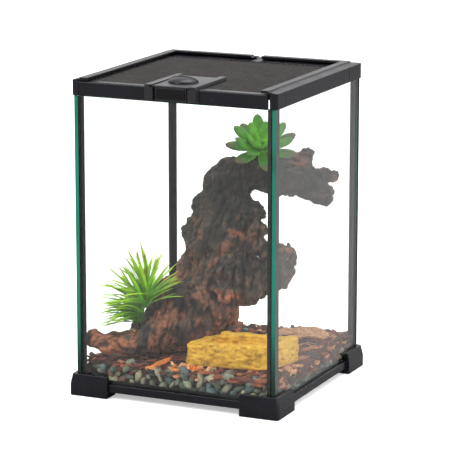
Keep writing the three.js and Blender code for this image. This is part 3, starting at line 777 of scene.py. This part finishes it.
def pebble_shapes(rng):
    """A few water-worn pebbles of different outline."""
    shapes = []
    for _ in range(6):
        bm = bmesh.new()
        bmesh.ops.create_icosphere(bm, subdivisions=2, radius=1)
        shift = Vector((rng.uniform(-9, 9), rng.uniform(-9, 9), rng.uniform(-9, 9)))
        for vert in bm.verts:
            vert.co *= 1 + 0.2 * noise.noise(vert.co * 0.9 + shift)
        shapes.append(mesh_of(bm))
    return shapes


def chip_shapes(rng):
    """A few shards of bark: long, flat, split at the ends and bowed."""
    shapes = []
    for _ in range(8):
        bm = bmesh.new()
        bmesh.ops.create_cube(bm, size=2)
        long_edges = [e for e in bm.edges if abs((e.verts[0].co - e.verts[1].co).x) > 1]
        bmesh.ops.subdivide_edges(bm, edges=long_edges, cuts=3)
        bow = rng.uniform(-0.5, 0.5)
        for vert in bm.verts:
            x = vert.co.x
            width = 1 - 0.45 * abs(x) ** 2.2
            vert.co.y *= width * rng.uniform(0.7, 1.15)
            vert.co.z = vert.co.z * rng.uniform(0.6, 1.15) * (1 - 0.3 * abs(x)) + bow * (1 - x * x)
            vert.co.x += rng.uniform(-0.16, 0.16)
        shapes.append(mesh_of(bm))
    return shapes


# The level of the chips, and their mounds: place, reach each way and height, in millimetres.
CHIP_LEVEL = 28.8
MOUNDS = ((60, 62, 36, 34, 6), (-88, -86, 18, 14, 3.5), (0, -40, 60, 40, 1.5))


def ground(x, y):
    """The level of the chips, in millimetres, with its mounds."""
    level = CHIP_LEVEL
    for middle_x, middle_y, reach_x, reach_y, height in MOUNDS:
        level += height * math.exp(-(((x - middle_x) / reach_x) ** 2) - ((y - middle_y) / reach_y) ** 2)
    return level


def turned(x, y, z):
    """A matrix that turns a shape by three angles."""
    return Euler((x, y, z)).to_matrix().to_4x4()


def spin(rng, tilt):
    """A random heading with a random tilt."""
    return turned(rng.uniform(-tilt, tilt), rng.uniform(-tilt, tilt), rng.uniform(0, FULL_TURN))


def kept_in(x, y, limit):
    """A place moved inwards where it lies past a limit from the middle."""
    return within(x, -limit, limit), within(y, -limit, limit)


# Pebbles stand in rows against the panes: the depth of each row, the space each stone has and its size.
STONE_ROWS = ((90.2, 9.6, 5.1), (82.5, 10.5, 5.3))
STONE_RUN = 182
FLOOR_LEVEL = 16.4
ROW_HEIGHT = 5.4


def build_pebbles():
    """Water-worn stones, packed against the panes and scattered on top."""
    rng = random.Random(11)
    shapes = pebble_shapes(rng)
    items = []

    def drop(x, y, z, size, tilt):
        radii = size * mm(rng.uniform(1.05, 1.4), rng.uniform(0.7, 0.9), rng.uniform(0.55, 0.75))
        x, y = kept_in(x, y, STONE_LIMIT - size * 0.98)
        matrix = Matrix.Translation(mm(x, y, z)) @ spin(rng, tilt) @ Matrix.Diagonal((*radii, 1))
        items.append((rng.choice(shapes), matrix, rng.random()))

    for depth, space, size in STONE_ROWS:
        count = int(STONE_RUN / space)
        for quarter in range(4):
            # The front wall is the tallest and fullest, and its stones stand at all angles.
            rows, full, tilt = (3, 0.8, 1.3) if quarter == 0 else (2, 0.6, 0.7)
            for row in range(rows):
                for i in range(count):
                    if row == rows - 1 and rng.random() > full:
                        continue
                    along = (i + 0.5 + 0.5 * (row % 2)) * STONE_RUN / count
                    u = -STONE_RUN / 2 + along + rng.uniform(-2, 2)
                    v = -depth + rng.uniform(-0.8, 0.8)
                    x, y = [(u, v), (-v, u), (-u, -v), (v, -u)][quarter]
                    z = FLOOR_LEVEL + row * ROW_HEIGHT + rng.uniform(-1.2, 1.2)
                    drop(x, y, z, size * rng.uniform(0.6, 1.3), tilt)
    # Loose stones showing on top, more of them at the front.
    for _ in range(15):
        drop(rng.uniform(-90, 90), rng.uniform(-94, -82), 30 + rng.uniform(-2, 1.5), rng.uniform(4.6, 7), 0.9)
    for _ in range(26):
        x, y = rng.uniform(-88, 88), rng.uniform(-76, 90)
        drop(x, y, ground(x, y) + rng.uniform(-1.0, 1.2), rng.uniform(3.2, 5.6), 0.7)
    piece("river_pebbles", heap(items), "tank", [STONE], ["gravel_bed"])


# Paler shards that stand out, in millimetres and degrees: place, length, width, heading and tone.
BRIGHT_CHIPS = [
    (-20, -86, 36.5, 27, 6, 78, 0.99), (-27, -90, 32, 12, 5, 20, 0.95), (28, -90, 33, 13, 10, 40, 0.72),
    (52, -91, 29, 20, 8, -20, 0.74), (66, -91, 31, 22, 8, -10, 0.42), (78, -91, 28, 18, 8, -35, 0.74),
    (40, -91, 31, 16, 9, -50, 0.66), (84, -90, 31, 15, 7, 10, 0.72), (-52, -90, 31, 15, 7, 30, 0.72),
    (-84, -88, 33, 17, 9, 10, 0.4), (-74, -90, 31, 16, 8, -30, 0.52), (-4, -91, 33, 13, 6, -20, 0.95),
    (50, 58, 38.5, 34, 24, 24, 0.88), (66, 60, 39.5, 30, 24, 10, 0.88), (58, 50, 38, 26, 20, 70, 0.86),
    (74, 54, 37.5, 26, 17, -20, 0.86), (44, 66, 38, 26, 18, -30, 0.87), (62, 70, 39, 24, 18, 30, 0.88),
    (84, 34, 34, 26, 8, 80, 0.83), (78, 20, 33, 24, 7, 70, 0.8), (86, 6, 32, 22, 7, 84, 0.78),
    (80, -14, 32, 24, 7, 62, 0.8), (87, 56, 35, 24, 8, 86, 0.8),
]


CHIPS_ACROSS = 28
CHIP_FIELD = 186
CHIP_LAYERS = 3
SHARDS_ON_EDGE = 70
CRUMBS = 46


def build_chips():
    """Bark chips: three loose layers, shards on edge against the panes, and the pale ones on top."""
    rng = random.Random(23)
    shapes = chip_shapes(rng)
    items = []

    def lay(x, y, z, length, turn, tone, clear=0.36, width=None):
        breadth = length * rng.uniform(0.14, 0.26)
        radii = mm(length / 2, width / 2 if width else breadth, rng.uniform(0.7, 1.5))
        x, y = kept_in(x, y, CHIP_LIMIT - length * clear)
        matrix = Matrix.Translation(mm(x, y, z)) @ turn @ Matrix.Diagonal((*radii, 1))
        items.append((rng.choice(shapes), matrix, tone))

    for layer in range(CHIP_LAYERS):
        for i in range(CHIPS_ACROSS):
            for j in range(CHIPS_ACROSS):
                x = -CHIP_FIELD / 2 + (i + 0.5) * CHIP_FIELD / CHIPS_ACROSS + rng.uniform(-3, 3)
                y = -CHIP_FIELD / 2 + (j + 0.5) * CHIP_FIELD / CHIPS_ACROSS + rng.uniform(-3, 3)
                # Fewer lie over the stones along the front pane.
                if y < -84 and rng.random() < 0.35:
                    continue
                z = ground(x, y) - 2.0 + layer * 1.6 + rng.uniform(-0.6, 0.6)
                # The right-hand side holds longer, paler shards. Part of their paleness is painted, standing
                # in for the pale haze that the right pane's reflection lays over them.
                right = within((x - 30) / 40) * within((y + 60) / 50)
                lay(x, y, z, rng.uniform(8, 17) * (1 + 0.5 * right), spin(rng, 0.38),
                    min(0.86, rng.random() ** 1.15 * 0.86 + 0.16 * right))
    # Shards on edge against the side and back panes.
    for side in range(3):
        for i in range(SHARDS_ON_EDGE):
            u = -88 + i * 176 / (SHARDS_ON_EDGE - 1) + rng.uniform(-2, 2)
            z = rng.uniform(20, 30)
            x, y = [(93.2, u), (-93.2, u), (u, 93.2)][side]
            heading = math.pi / 2 if side < 2 else 0.0
            turn = turned(math.pi / 2 + rng.uniform(-0.2, 0.2), rng.uniform(-0.5, 0.5), heading)
            lay(x, y, z, rng.uniform(9, 17), turn, rng.random() ** 1.1 * 0.88, 0.08)
    for x, y, z, length, width, heading, tone in BRIGHT_CHIPS:
        turn = turned(rng.uniform(-0.15, 0.15), rng.uniform(-0.15, 0.15), math.radians(heading))
        lay(x, y, z, length, turn, tone, 0.1, width)
    # A handful of pale crumbs in front of the dish.
    for _ in range(CRUMBS):
        x, y = rng.gauss(12, 8.5), -89 + abs(rng.gauss(0, 4))
        z = 34.5 + rng.uniform(-1.6, 1.6)
        lay(x, y, z, rng.uniform(3.5, 7), spin(rng, 0.7), rng.choice((0.93, 0.88, 0.99)), 0.3, 2.6)
    piece("bark_chip_layer", heap(items), "tank", [BARK], ["bark_chips"], smooth=False)


def build_bed():
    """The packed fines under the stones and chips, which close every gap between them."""
    bm = bmesh.new()
    bmesh.ops.create_grid(bm, x_segments=36, y_segments=36, size=89 * MM)
    faces = bm.faces[:]
    for vert in bm.verts:
        x, y = vert.co.x / MM, vert.co.y / MM
        rough = noise.fractal(Vector((x, y, 0)) / 9, 1.0, 2.0, 3)
        vert.co.z = (ground(x, y) - 3.2 + 1.2 * rough) * MM
    made = bmesh.ops.extrude_face_region(bm, geom=faces, use_keep_orig=True)
    base = [g for g in made["geom"] if isinstance(g, bmesh.types.BMVert)]
    for vert in base:
        vert.co.z = 12.4 * MM
    bmesh.ops.recalc_face_normals(bm, faces=bm.faces)
    tone = bm.verts.layers.float.new("tone")
    for vert in bm.verts:
        vert[tone] = 0.08
    piece("packed_fines", bm, "tank", [BARK])


# ---------------------------------------------------------------- driftwood

# Knots and prongs grown on the main mass: centre, radii and turn about Y, in millimetres and degrees.
WOOD_KNOTS = [
    ((-16, -20, 130), (9, 6, 12), 10), ((-36, -10, 96), (8, 8, 15), 20), ((36, -10, 86), (11, 9, 8), -20),
    ((24, -16, 122), (10, 7, 9), 30), ((-4, -24, 100), (8, 5, 17), 8), ((14, -22, 94), (7, 6, 14), -12),
    ((-20, 2, 166), (6, 7, 11), 25), ((18, 6, 190), (10, 8, 9), 0), ((36, -3, 168), (12, 9, 11), 12),
    ((40, -4, 150), (10, 8, 10), -8), ((44, -3, 134), (9, 8, 10), 0), ((-24, -6, 144), (8, 7, 7), 0),
    ((53, 6, 106), (9, 7, 12), 14), ((60, 8.5, 109), (6, 5.5, 11), 24), ((65.5, 9, 120), (4.5, 4, 10), 28),
    ((58, 8, 98), (5.5, 5.5, 9), 20),
    ((84, 49, 197), (13, 8, 7), 8), ((91, 49, 199), (7, 6, 5.5), -10), ((68, 35, 213), (11, 7, 13), 14),
    ((71, 37, 220), (8, 6, 6), 20), ((60, 30, 214), (10, 8, 8), 0), ((83, 44, 181), (11, 8, 10), 35),
    ((86, 45, 172), (6, 6, 7), 0),
    ((-90, -87, 52), (7, 6, 8), 0), ((-72, -76, 49), (12, 8, 8), -10), ((46, 26, 186), (9, 9, 6), 10),
    ((-24, -36, 84), (9, 6, 13), 14), ((-8, -28, 54), (14, 9, 14), 0), ((-44, -34, 84), (8, 8, 13), 25),
    # A short snag under each plant's stem.
    ((36, 14, 210), (7, 7, 9), 0), ((-57, -61, 60), (6, 6, 6), 0),
]


# Notches worn into it: a centre and the radius everything is pressed clear of, in millimetres.
WOOD_NOTCHES = [((55, 8, 129), 8), ((81, 46, 208), 6), ((60, 4, 84), 8)]


def wood_flow(point):
    """The direction the grain runs at a point, in millimetres."""
    limb = within((-point.x - 25) / 30) * within((95 - point.z) / 25)
    branch = within((point.x - 15) / 20) * within((point.z - 165) / 20)
    trunk = Vector((0.15, 0.15, 1.0))
    return (trunk * (1 - limb) * (1 - branch) + Vector((0.8, 0.75, 0.12)) * limb
            + Vector((1.0, 0.4, -0.1)) * branch).normalized()


def build_driftwood():
    """The root is worn smooth as a whole, then its knots, drawn grain, pits and cracks stand out of it."""
    worn = remeshed(merged_copy("driftwood"), 2.6 * MM, 14)
    bm = bmesh.new()
    bm.from_mesh(worn)
    for centre, radii, lean in WOOD_KNOTS:
        matrix = (Matrix.Translation(mm(*centre)) @ Matrix.Rotation(math.radians(lean), 4, "Y")
                  @ Matrix.Diagonal((*mm(*radii), 1)))
        bmesh.ops.create_icosphere(bm, subdivisions=3, radius=1, matrix=matrix)
    mesh = remeshed(bm, 1.25 * MM, 6)
    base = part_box("driftwood")[0].z / MM

    def weathering(point, normal):
        flow = wood_flow(point)
        along = point.dot(flow)
        # Grain is drawn out along the flow: 9 mm across it and 21 mm along it.
        drawn = (point - flow * along) / 9 + flow * along / 21
        swell = noise.fractal(point / 24, 0.9, 2.1, 3)
        ridge = 1 - 2 * abs(noise.fractal(drawn, 0.8, 2.0, 3))
        pit = noise.fractal(point / 5, 0.7, 2.2, 3)
        crack = max(0.0, 0.17 - abs(noise.noise(drawn * 0.6 + Vector((5, 9, 2))))) / 0.17
        out = 4.6 * swell + 2.5 * (ridge - 0.45) + 1.1 * pit - 2.6 * crack ** 2
        # The low limb is worn smoother, and the foot keeps its level.
        limb = within((-point.x - 38) / 22) * within((80 - point.z) / 14)
        fade = within((point.z - base) / 6) * (1 - 0.55 * limb)
        # The second value is how deep the point lies, which the wood's colour turns into painted shade in the
        # hollows.
        return out * fade, 1.4 * (ridge - 0.45) + 0.9 * pit - 1.3 * crack ** 2

    embossed(mesh, weathering)
    for vert in mesh.vertices:
        for centre, radius in WOOD_NOTCHES:
            away = vert.co - mm(*centre)
            if away.length < radius * MM:
                vert.co += away.normalized() * (radius * MM - away.length)
    piece_of_mesh("driftwood_root", mesh, "tank", [WOOD], ["driftwood"])


# ---------------------------------------------------------------- plants


def blade_shape(steps=9):
    """A straight grass blade of unit length along Z, lens-shaped in section and tapering to a point."""
    bm = bmesh.new()
    ring = bmesh.ops.create_circle(bm, cap_ends=True, segments=4, radius=1)["verts"]
    face = ring[0].link_faces[0]
    previous = 1.0
    for step in range(1, steps + 1):
        t = step / steps
        width = max(0.06, (0.7 + 1.0 * t - 1.7 * t ** 3.2))
        made = bmesh.ops.extrude_face_region(bm, geom=[face], use_keep_orig=step == 1)
        moved = [g for g in made["geom"] if isinstance(g, bmesh.types.BMVert)]
        face = [g for g in made["geom"] if isinstance(g, bmesh.types.BMFace)][0]
        bmesh.ops.translate(bm, verts=moved, vec=Vector((0, 0, 1 / steps)))
        middle = Vector((0, 0, t))
        bmesh.ops.scale(bm, verts=moved, vec=Vector((width / previous, width / previous, 1)),
                        space=Matrix.Translation(-middle))
        previous = width
    bmesh.ops.recalc_face_normals(bm, faces=bm.faces)
    return mesh_of(bm)


def bent(point, length, droop):
    """Wraps a point on a straight upright piece of that length round an arc that turns by droop."""
    if abs(droop) < 1e-4:
        return Vector(point)
    radius = length / droop
    angle = point.z / radius
    spoke = radius - point.x
    return Vector((radius - spoke * math.cos(angle), point.y, spoke * math.sin(angle)))


def grow(bm, shape, layer, base, heading, lift, length, width, thickness, droop, tone_at):
    """Adds one blade or leaf: sized, bent outwards, tipped to its lift and turned to its heading."""
    start = len(bm.verts)
    bm.from_mesh(shape)
    bm.verts.ensure_lookup_table()
    turn = Matrix.Rotation(heading, 4, "Z") @ Matrix.Rotation(math.pi / 2 - lift, 4, "Y")
    for vert in bm.verts[start:]:
        reach = vert.co.z
        sized = Vector((vert.co.x * thickness / 2, vert.co.y * width / 2, vert.co.z * length))
        vert.co = base + (turn @ bent(sized, length, droop)) * MM
        vert[layer] = tone_at(reach)


BLADES = 140


def build_grass():
    """A tuft of moulded grass on a short stem, with a wad of straw at its foot."""
    rng = random.Random(5)
    shape = blade_shape()
    bm = bmesh.new()
    tone = bm.verts.layers.float.new("tone")
    foot = mm(-58, -61, 58)
    crown = mm(-45, -60, 93)
    # The heading along which the fan is widest.
    across = math.radians(24)
    for i in range(BLADES):
        t = i / (BLADES - 1)
        base = foot.lerp(crown, 0.15 + 0.85 * t ** 0.8)
        if t < 0.36:
            # Low leaves hang out to the free side, away from the root.
            heading = math.pi + across + rng.uniform(-0.9, 0.9)
            lift = math.radians(rng.uniform(6, 36) + 36 * t)
            droop = rng.uniform(0.6, 1.2)
            length = rng.uniform(33, 44)
        else:
            # The fan above spreads mostly along the front pane.
            heading = across + rng.choice((0, math.pi, math.pi)) + rng.gauss(0, 0.6)
            lift = math.radians(rng.uniform(14, 96))
            droop = rng.uniform(0.15, 0.75)
            length = rng.uniform(40, 52)
        away = Vector((math.cos(heading), math.sin(heading)))
        # Blades towards the root stand up clear of it, and those towards the pane stay short of it.
        if away.x > 0.3:
            lift = max(lift, math.radians(38))
            length *= 0.86
        if away.y < -0.25:
            length = min(length, 33 / max(0.3, math.cos(lift - droop / 2) * -away.y))
        # Painted light: blades high in the tuft are painted lighter, those turned towards the root darker,
        # and each blade darkens towards its shaded foot.
        painted_light = 0.4 + 0.34 * t - 0.1 * away.x + rng.uniform(-0.12, 0.12)
        grow(bm, shape, tone, base, heading, lift, length, rng.uniform(3.8, 5.4), 1.0, droop,
             lambda reach, painted_light=painted_light: min(0.86, painted_light - 0.1 + 0.42 * reach) + 0.14 * reach ** 8)
    bmesh.ops.create_cone(bm, cap_ends=True, segments=10, radius1=2.4 * MM, radius2=1.6 * MM, depth=34 * MM,
                          matrix=Matrix.Translation((foot + crown) / 2))
    piece("grass_tuft", bm, "tank", [GRASS], ["grass_plant"], sharp_angle=60)

    wad = bmesh.new()
    for centre, radii in (
        ((-62, -66, 54.5), (7, 4, 3)),
        ((-57, -67, 57), (5, 3.5, 3)),
        ((-66, -66, 52), (4, 3, 3)),
    ):
        matrix = Matrix.Translation(mm(*centre)) @ Matrix.Diagonal((*mm(*radii), 1))
        bmesh.ops.create_icosphere(wad, subdivisions=3, radius=1, matrix=matrix)
    mesh = remeshed(wad, 0.6 * MM, 2)
    for vert in mesh.vertices:
        vert.co += vert.normal * noise.fractal(vert.co / MM / 1.6, 0.7, 2.0, 3) * 0.9 * MM
    piece_of_mesh("straw_wad", mesh, "tank", [STRAW])


def leaf_shape():
    """A plump succulent leaf of unit length along Z: narrow at its foot, widest past the middle, pointed."""
    bm = bmesh.new()
    bmesh.ops.create_uvsphere(bm, u_segments=14, v_segments=12, radius=1)
    for vert in bm.verts:
        t = (vert.co.z + 1) / 2
        spread = 0.42 + 0.78 * t ** 1.1 - 0.55 * max(0.0, t - 0.8)
        x, y = vert.co.x * spread, vert.co.y * spread
        vert.co = Vector((x * 0.9 - 0.35 * y * y, y, t + 0.06 * max(0.0, t - 0.8) / 0.2))
    return mesh_of(bm)


def build_succulent():
    """A rosette of plump moulded leaves on a stem, tipped towards the front."""
    rng = random.Random(8)
    shape = leaf_shape()
    bm = bmesh.new()
    tone = bm.verts.layers.float.new("tone")
    heart = mm(38.5, 9, 225.5)
    # Rings from the outside in: leaves, lift in degrees, length, width.
    rings = ((7, 0, 33, 14), (7, 24, 30, 14), (6, 46, 25.5, 13), (4, 64, 19, 10.5), (3, 78, 13, 7.5))
    turn = 0.4
    for count, lift, length, width in rings:
        turn += 0.4
        for i in range(count):
            # This test is meant to drop the leaf that would lie against the wood, but no ring has a lift of
            # 2, so every leaf is grown.
            if lift == 2 and i == 5:
                continue
            heading = turn + i * FULL_TURN / count + rng.uniform(-0.1, 0.1)
            grow(bm, shape, tone, Vector((0, 0, 0)), heading, math.radians(lift + rng.uniform(-4, 4)),
                 length * rng.uniform(0.92, 1.06), width * rng.uniform(0.92, 1.06), 6.6,
                 rng.uniform(-0.45, -0.2), lambda reach, ring=lift / 100: reach - ring)
    face_way = Vector((0.22, -0.5, 0.84)).normalized()
    tip = Vector((0, 0, 1)).rotation_difference(face_way).to_matrix().to_4x4()
    bmesh.ops.transform(bm, matrix=Matrix.Translation(heart) @ tip, verts=bm.verts)
    bmesh.ops.create_cone(bm, cap_ends=True, segments=12, radius1=3.6 * MM, radius2=4.2 * MM, depth=20 * MM,
                          matrix=Matrix.Translation(heart + mm(-1, 2.5, -9)))
    piece("succulent_rosette", bm, "tank", [SUCCULENT], ["succulent_plant"],
          sharp_angle=60)


# ---------------------------------------------------------------- feeding dish


def build_dish():
    """A cast block: chiselled sides with thin bedding lines, a smoother worn rim and well."""
    bm = merged_copy("feeding_dish")
    low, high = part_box("feeding_dish")
    # The real block is a little longer than its CAD stand-in, out to the left.
    right_end = Vector((high.x, 0, 0))
    stretch = (Matrix.Translation(right_end) @ Matrix.Diagonal((1.06, 1, 1, 1))
               @ Matrix.Translation(-right_end))
    bmesh.ops.transform(bm, matrix=stretch, verts=bm.verts)
    mesh = remeshed(bm, 0.9 * MM, 16)

    def casting(point, normal):
        upright = 1 - abs(normal.z)
        strata = noise.fractal(Vector((point.x / 6, point.y / 6, point.z / 2.4)), 0.9, 2.1, 3)
        chisel = noise.fractal(point / 17 + Vector((7, 3, 1)), 1.0, 2.0, 2)
        pits = noise.fractal(point / 2.2, 0.8, 2.0, 2)
        out = upright * (0.75 * strata + 2.3 * chisel) + (1 - upright) * 1.7 * chisel + 0.2 * pits
        fade = within((point.z - low.z / MM) / 3)
        return out * fade, 0.9 * strata * upright + 0.5 * pits

    embossed(mesh, casting)
    piece_of_mesh("feeding_dish_rock", mesh, "tank", [ROCK], ["feeding_dish"])


# ---------------------------------------------------------------- studio


def build_floor():
    """A wide sheet of white paper under the tank."""
    bm = bmesh.new()
    bmesh.ops.create_circle(bm, cap_ends=True, segments=64, radius=30)
    floor = bpy.data.objects.new("studio_floor", mesh_of(bm, "studio_floor"))
    floor.data.materials.append(studio_paper())
    bpy.context.scene.collection.objects.link(floor)
    floor.location.z = -0.0002


def build_world():
    """A white backdrop that is seen plain, and that lights the tank unevenly like a tented studio."""
    world = bpy.data.worlds.new("studio")
    bpy.context.scene.world = world
    world.use_nodes = True
    tree = world.node_tree
    tree.nodes.clear()
    # The backdrop is plain white. The light it gives is stronger from above, behind and the right.
    way = add(tree, "ShaderNodeTexCoord").outputs["Generated"]
    axes = add(tree, "ShaderNodeSeparateXYZ", {"Vector": way})
    up = add(tree, "ShaderNodeMapRange", {"Value": axes.outputs["Z"], "From Min": 0.0, "From Max": 0.9,
                                          "To Min": 0.0, "To Max": 0.55})
    rear = add(tree, "ShaderNodeMapRange", {"Value": axes.outputs["Y"], "From Min": -0.7, "From Max": 0.9,
                                            "To Min": 0.0, "To Max": 0.5})
    right = add(tree, "ShaderNodeMapRange", {"Value": axes.outputs["X"], "From Min": -0.2, "From Max": 0.9,
                                             "To Min": 0.0, "To Max": 0.4})
    first = add(tree, "ShaderNodeMath", {0: up.outputs["Result"], 1: rear.outputs["Result"]},
                operation="ADD")
    second = add(tree, "ShaderNodeMath", {0: first.outputs["Value"], 1: right.outputs["Result"]},
                 operation="ADD")
    glow = add(tree, "ShaderNodeMath", {0: second.outputs["Value"], 1: 0.3}, operation="ADD")
    path = add(tree, "ShaderNodeLightPath")
    bounces = add(tree, "ShaderNodeMath", {0: path.outputs["Diffuse Depth"], 1: path.outputs["Glossy Depth"]},
                  operation="ADD")
    seen = add(tree, "ShaderNodeMath", {0: bounces.outputs["Value"], 1: 1.0}, operation="MINIMUM")
    lamp = add(tree, "ShaderNodeBackground", {"Color": shade("#ffffff"),
                                              "Strength": glow.outputs["Value"]})
    plain = add(tree, "ShaderNodeBackground", {"Color": shade("#ffffff"), "Strength": 1.3})
    mix = add(tree, "ShaderNodeMixShader", {0: seen.outputs["Value"], 1: plain.outputs["Background"],
                                            2: lamp.outputs["Background"]})
    output = tree.nodes.new("ShaderNodeOutputWorld")
    tree.links.new(mix.outputs["Shader"], output.inputs["Surface"])


# Softboxes: name, place and size in metres, and watts. All face the middle of the tank.
SOFTBOXES = (
    ("key_softbox", (-1.1, -1.7, 2.0), 1.3, 42),
    ("top_softbox", (0.2, 0.5, 2.3), 1.6, 40),
    ("right_fill", (2.2, -0.2, 0.9), 1.4, 18),
)
TANK_MIDDLE = Vector((0, 0, 0.15))


def build_lights():
    """Soft lamps that the camera doesn't see, either straight or through the glass."""
    for name, place, size, watts in SOFTBOXES:
        light = bpy.data.lights.new(name, "AREA")
        light.size = size
        light.energy = watts
        made = bpy.data.objects.new(name, light)
        made.location = place
        made.rotation_euler = (TANK_MIDDLE - Vector(place)).to_track_quat("-Z", "Y").to_euler()
        made.visible_camera = False
        made.visible_transmission = False
        bpy.context.scene.collection.objects.link(made)


# A long lens from the front right, looking a little down: place in metres, turns in radians.
CAMERA_PLACE = (0.9732, -2.1356, 0.6612)
CAMERA_DOWN = 0.2142
CAMERA_HEADING = 0.4255


def build_camera():
    """The camera, and plain colours with no film look."""
    camera_data = bpy.data.cameras.new("camera")
    camera_data.lens = 204.0
    camera_data.sensor_width = 36
    camera_data.clip_start = 0.05
    camera_data.clip_end = 100
    camera = bpy.data.objects.new("camera", camera_data)
    camera.location = CAMERA_PLACE
    camera.rotation_euler = (math.pi / 2 - CAMERA_DOWN, 0, CAMERA_HEADING)
    bpy.context.scene.collection.objects.link(camera)
    bpy.context.scene.camera = camera
    bpy.context.scene.view_settings.view_transform = "Standard"


build_mouldings()
build_glass()
build_seals()
build_screen()
build_bed()
build_pebbles()
build_chips()
build_driftwood()
build_grass()
build_succulent()
build_dish()
build_floor()
build_world()
build_lights()
build_camera()
